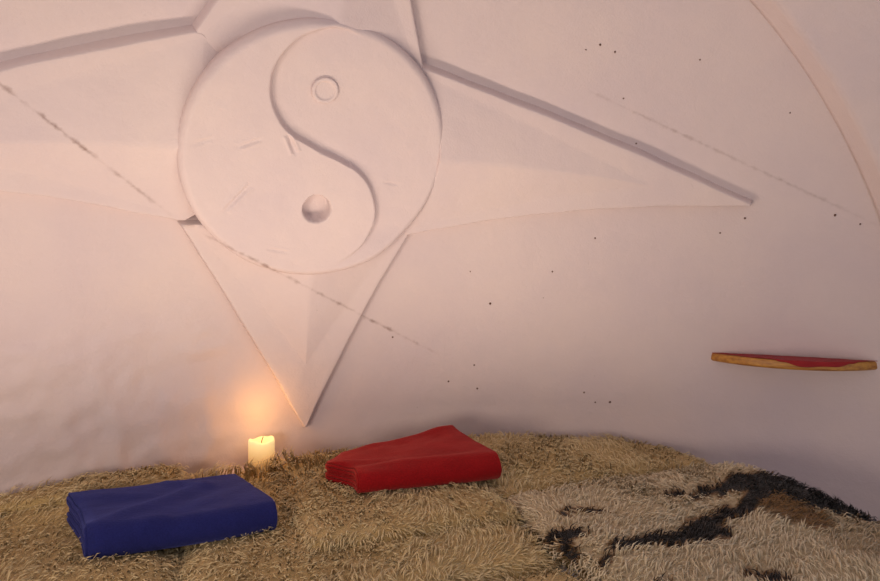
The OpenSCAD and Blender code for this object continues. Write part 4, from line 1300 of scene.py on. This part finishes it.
# %% Camera
WIDE, FOCAL, HORIZON = 880, 670, 35.5  # the picture's width, its focal length, its shift, in px
camera = in_scene("camera", bpy.data.cameras.new("camera"))
camera.location = EYE
camera.rotation_euler = (math.pi / 2, 0, -math.radians(20.5))
camera.data.sensor_width = 36
camera.data.lens = 36 * FOCAL / WIDE
camera.data.shift_y = -HORIZON / WIDE
bpy.context.scene.camera = camera
print("lens", round(camera.data.lens, 2), "mm")

# %% [markdown]
# The room is lit softly. A pale sky all round gives an even part of it. A strip at the wall's
# foot and a broad lamp low on the left, outside the frame, show the carving, because every
# slope that faces down to them is brighter. Two hazy suns behind the wall light its outside.
# The camera and reflections see a paler sky than the one that lights the snow.

# %% Floor and sky
floor_look, shader, _ = new_material("pale floor")
connect(shader, {"Base Color": hue("#E4E2E0"), "Roughness": 0.9})
size = 40.0
floor = in_scene("floor", bpy.data.meshes.new("floor"))
floor.data.from_pydata([(-size, -size, -0.001), (size, -size, -0.001), (size, size, -0.001),
                        (-size, size, -0.001)], [], [(0, 1, 2, 3)])
floor.data.materials.append(floor_look)

world = bpy.data.worlds.new("soft light")
bpy.context.scene.world = world
world.use_nodes = True
sky = world.node_tree.nodes["Background"]
connect(sky, {"Color": hue("#EDE8F4"), "Strength": 0.38})
camera_ray = add(world.node_tree, "LightPath", out="Is Camera Ray")
glossy_ray = camera_ray.node.outputs["Is Glossy Ray"]
seen = add(camera_ray, "Math", {0: camera_ray, 1: glossy_ray}, operation="MAXIMUM")
behind = add(seen, "Background", {"Color": hue("#F2F2F3"), "Strength": 1.0})
mixed = add(seen, "MixShader", {0: seen, 1: sky.outputs[0], 2: behind})
connect(world.node_tree.nodes["World Output"], {"Surface": mixed})
print("the floor is", 2 * size, "m wide")

# %% Lamps
def lamp(name, kind, place, aim, power, size, colour):
    """A lamp at a place that shines towards a point; the camera doesn't see the lamp itself."""
    light = bpy.data.lights.new(name, kind)
    light.energy, light.color = power, hue(colour)[:3]
    obj = in_scene(name, light)
    if kind == "AREA":
        light.shape, light.size, light.size_y = "RECTANGLE", *size
    elif kind == "SUN":
        light.angle = math.radians(size)
    else:
        light.shadow_soft_size = size
    obj.location = place
    obj.rotation_euler = (Vector(aim) - Vector(place)).to_track_quat("-Z", "Y").to_euler()
    obj.visible_camera = False
    return obj


lamp("strip at the foot of the wall", "AREA", (-0.10, -0.10, 0.70), (-0.10, -0.1, 1.7), 12,
     (1.7, 0.15), "#FFE6D0")
key = lamp("key low on the left", "AREA", (-1.80, -2.00, 0.85), (0.1, 0.6, 1.3), 14, (0.7, 0.7),
           "#FFE8D4")
key.data.spread = math.radians(130)
lamp("candle light", "POINT", (-0.20, 0.66, 0.72), (0, 0, 0), 0.8, 0.05, "#FFB866")
for side, x in (("left", -3), ("right", 3)):
    lamp("sky behind on the " + side, "SUN", (x, 4, 4), (0, 0, 1), 1.05, 60, "#F6F4FA")

# %% View
bpy.context.scene.view_settings.view_transform = "Standard"
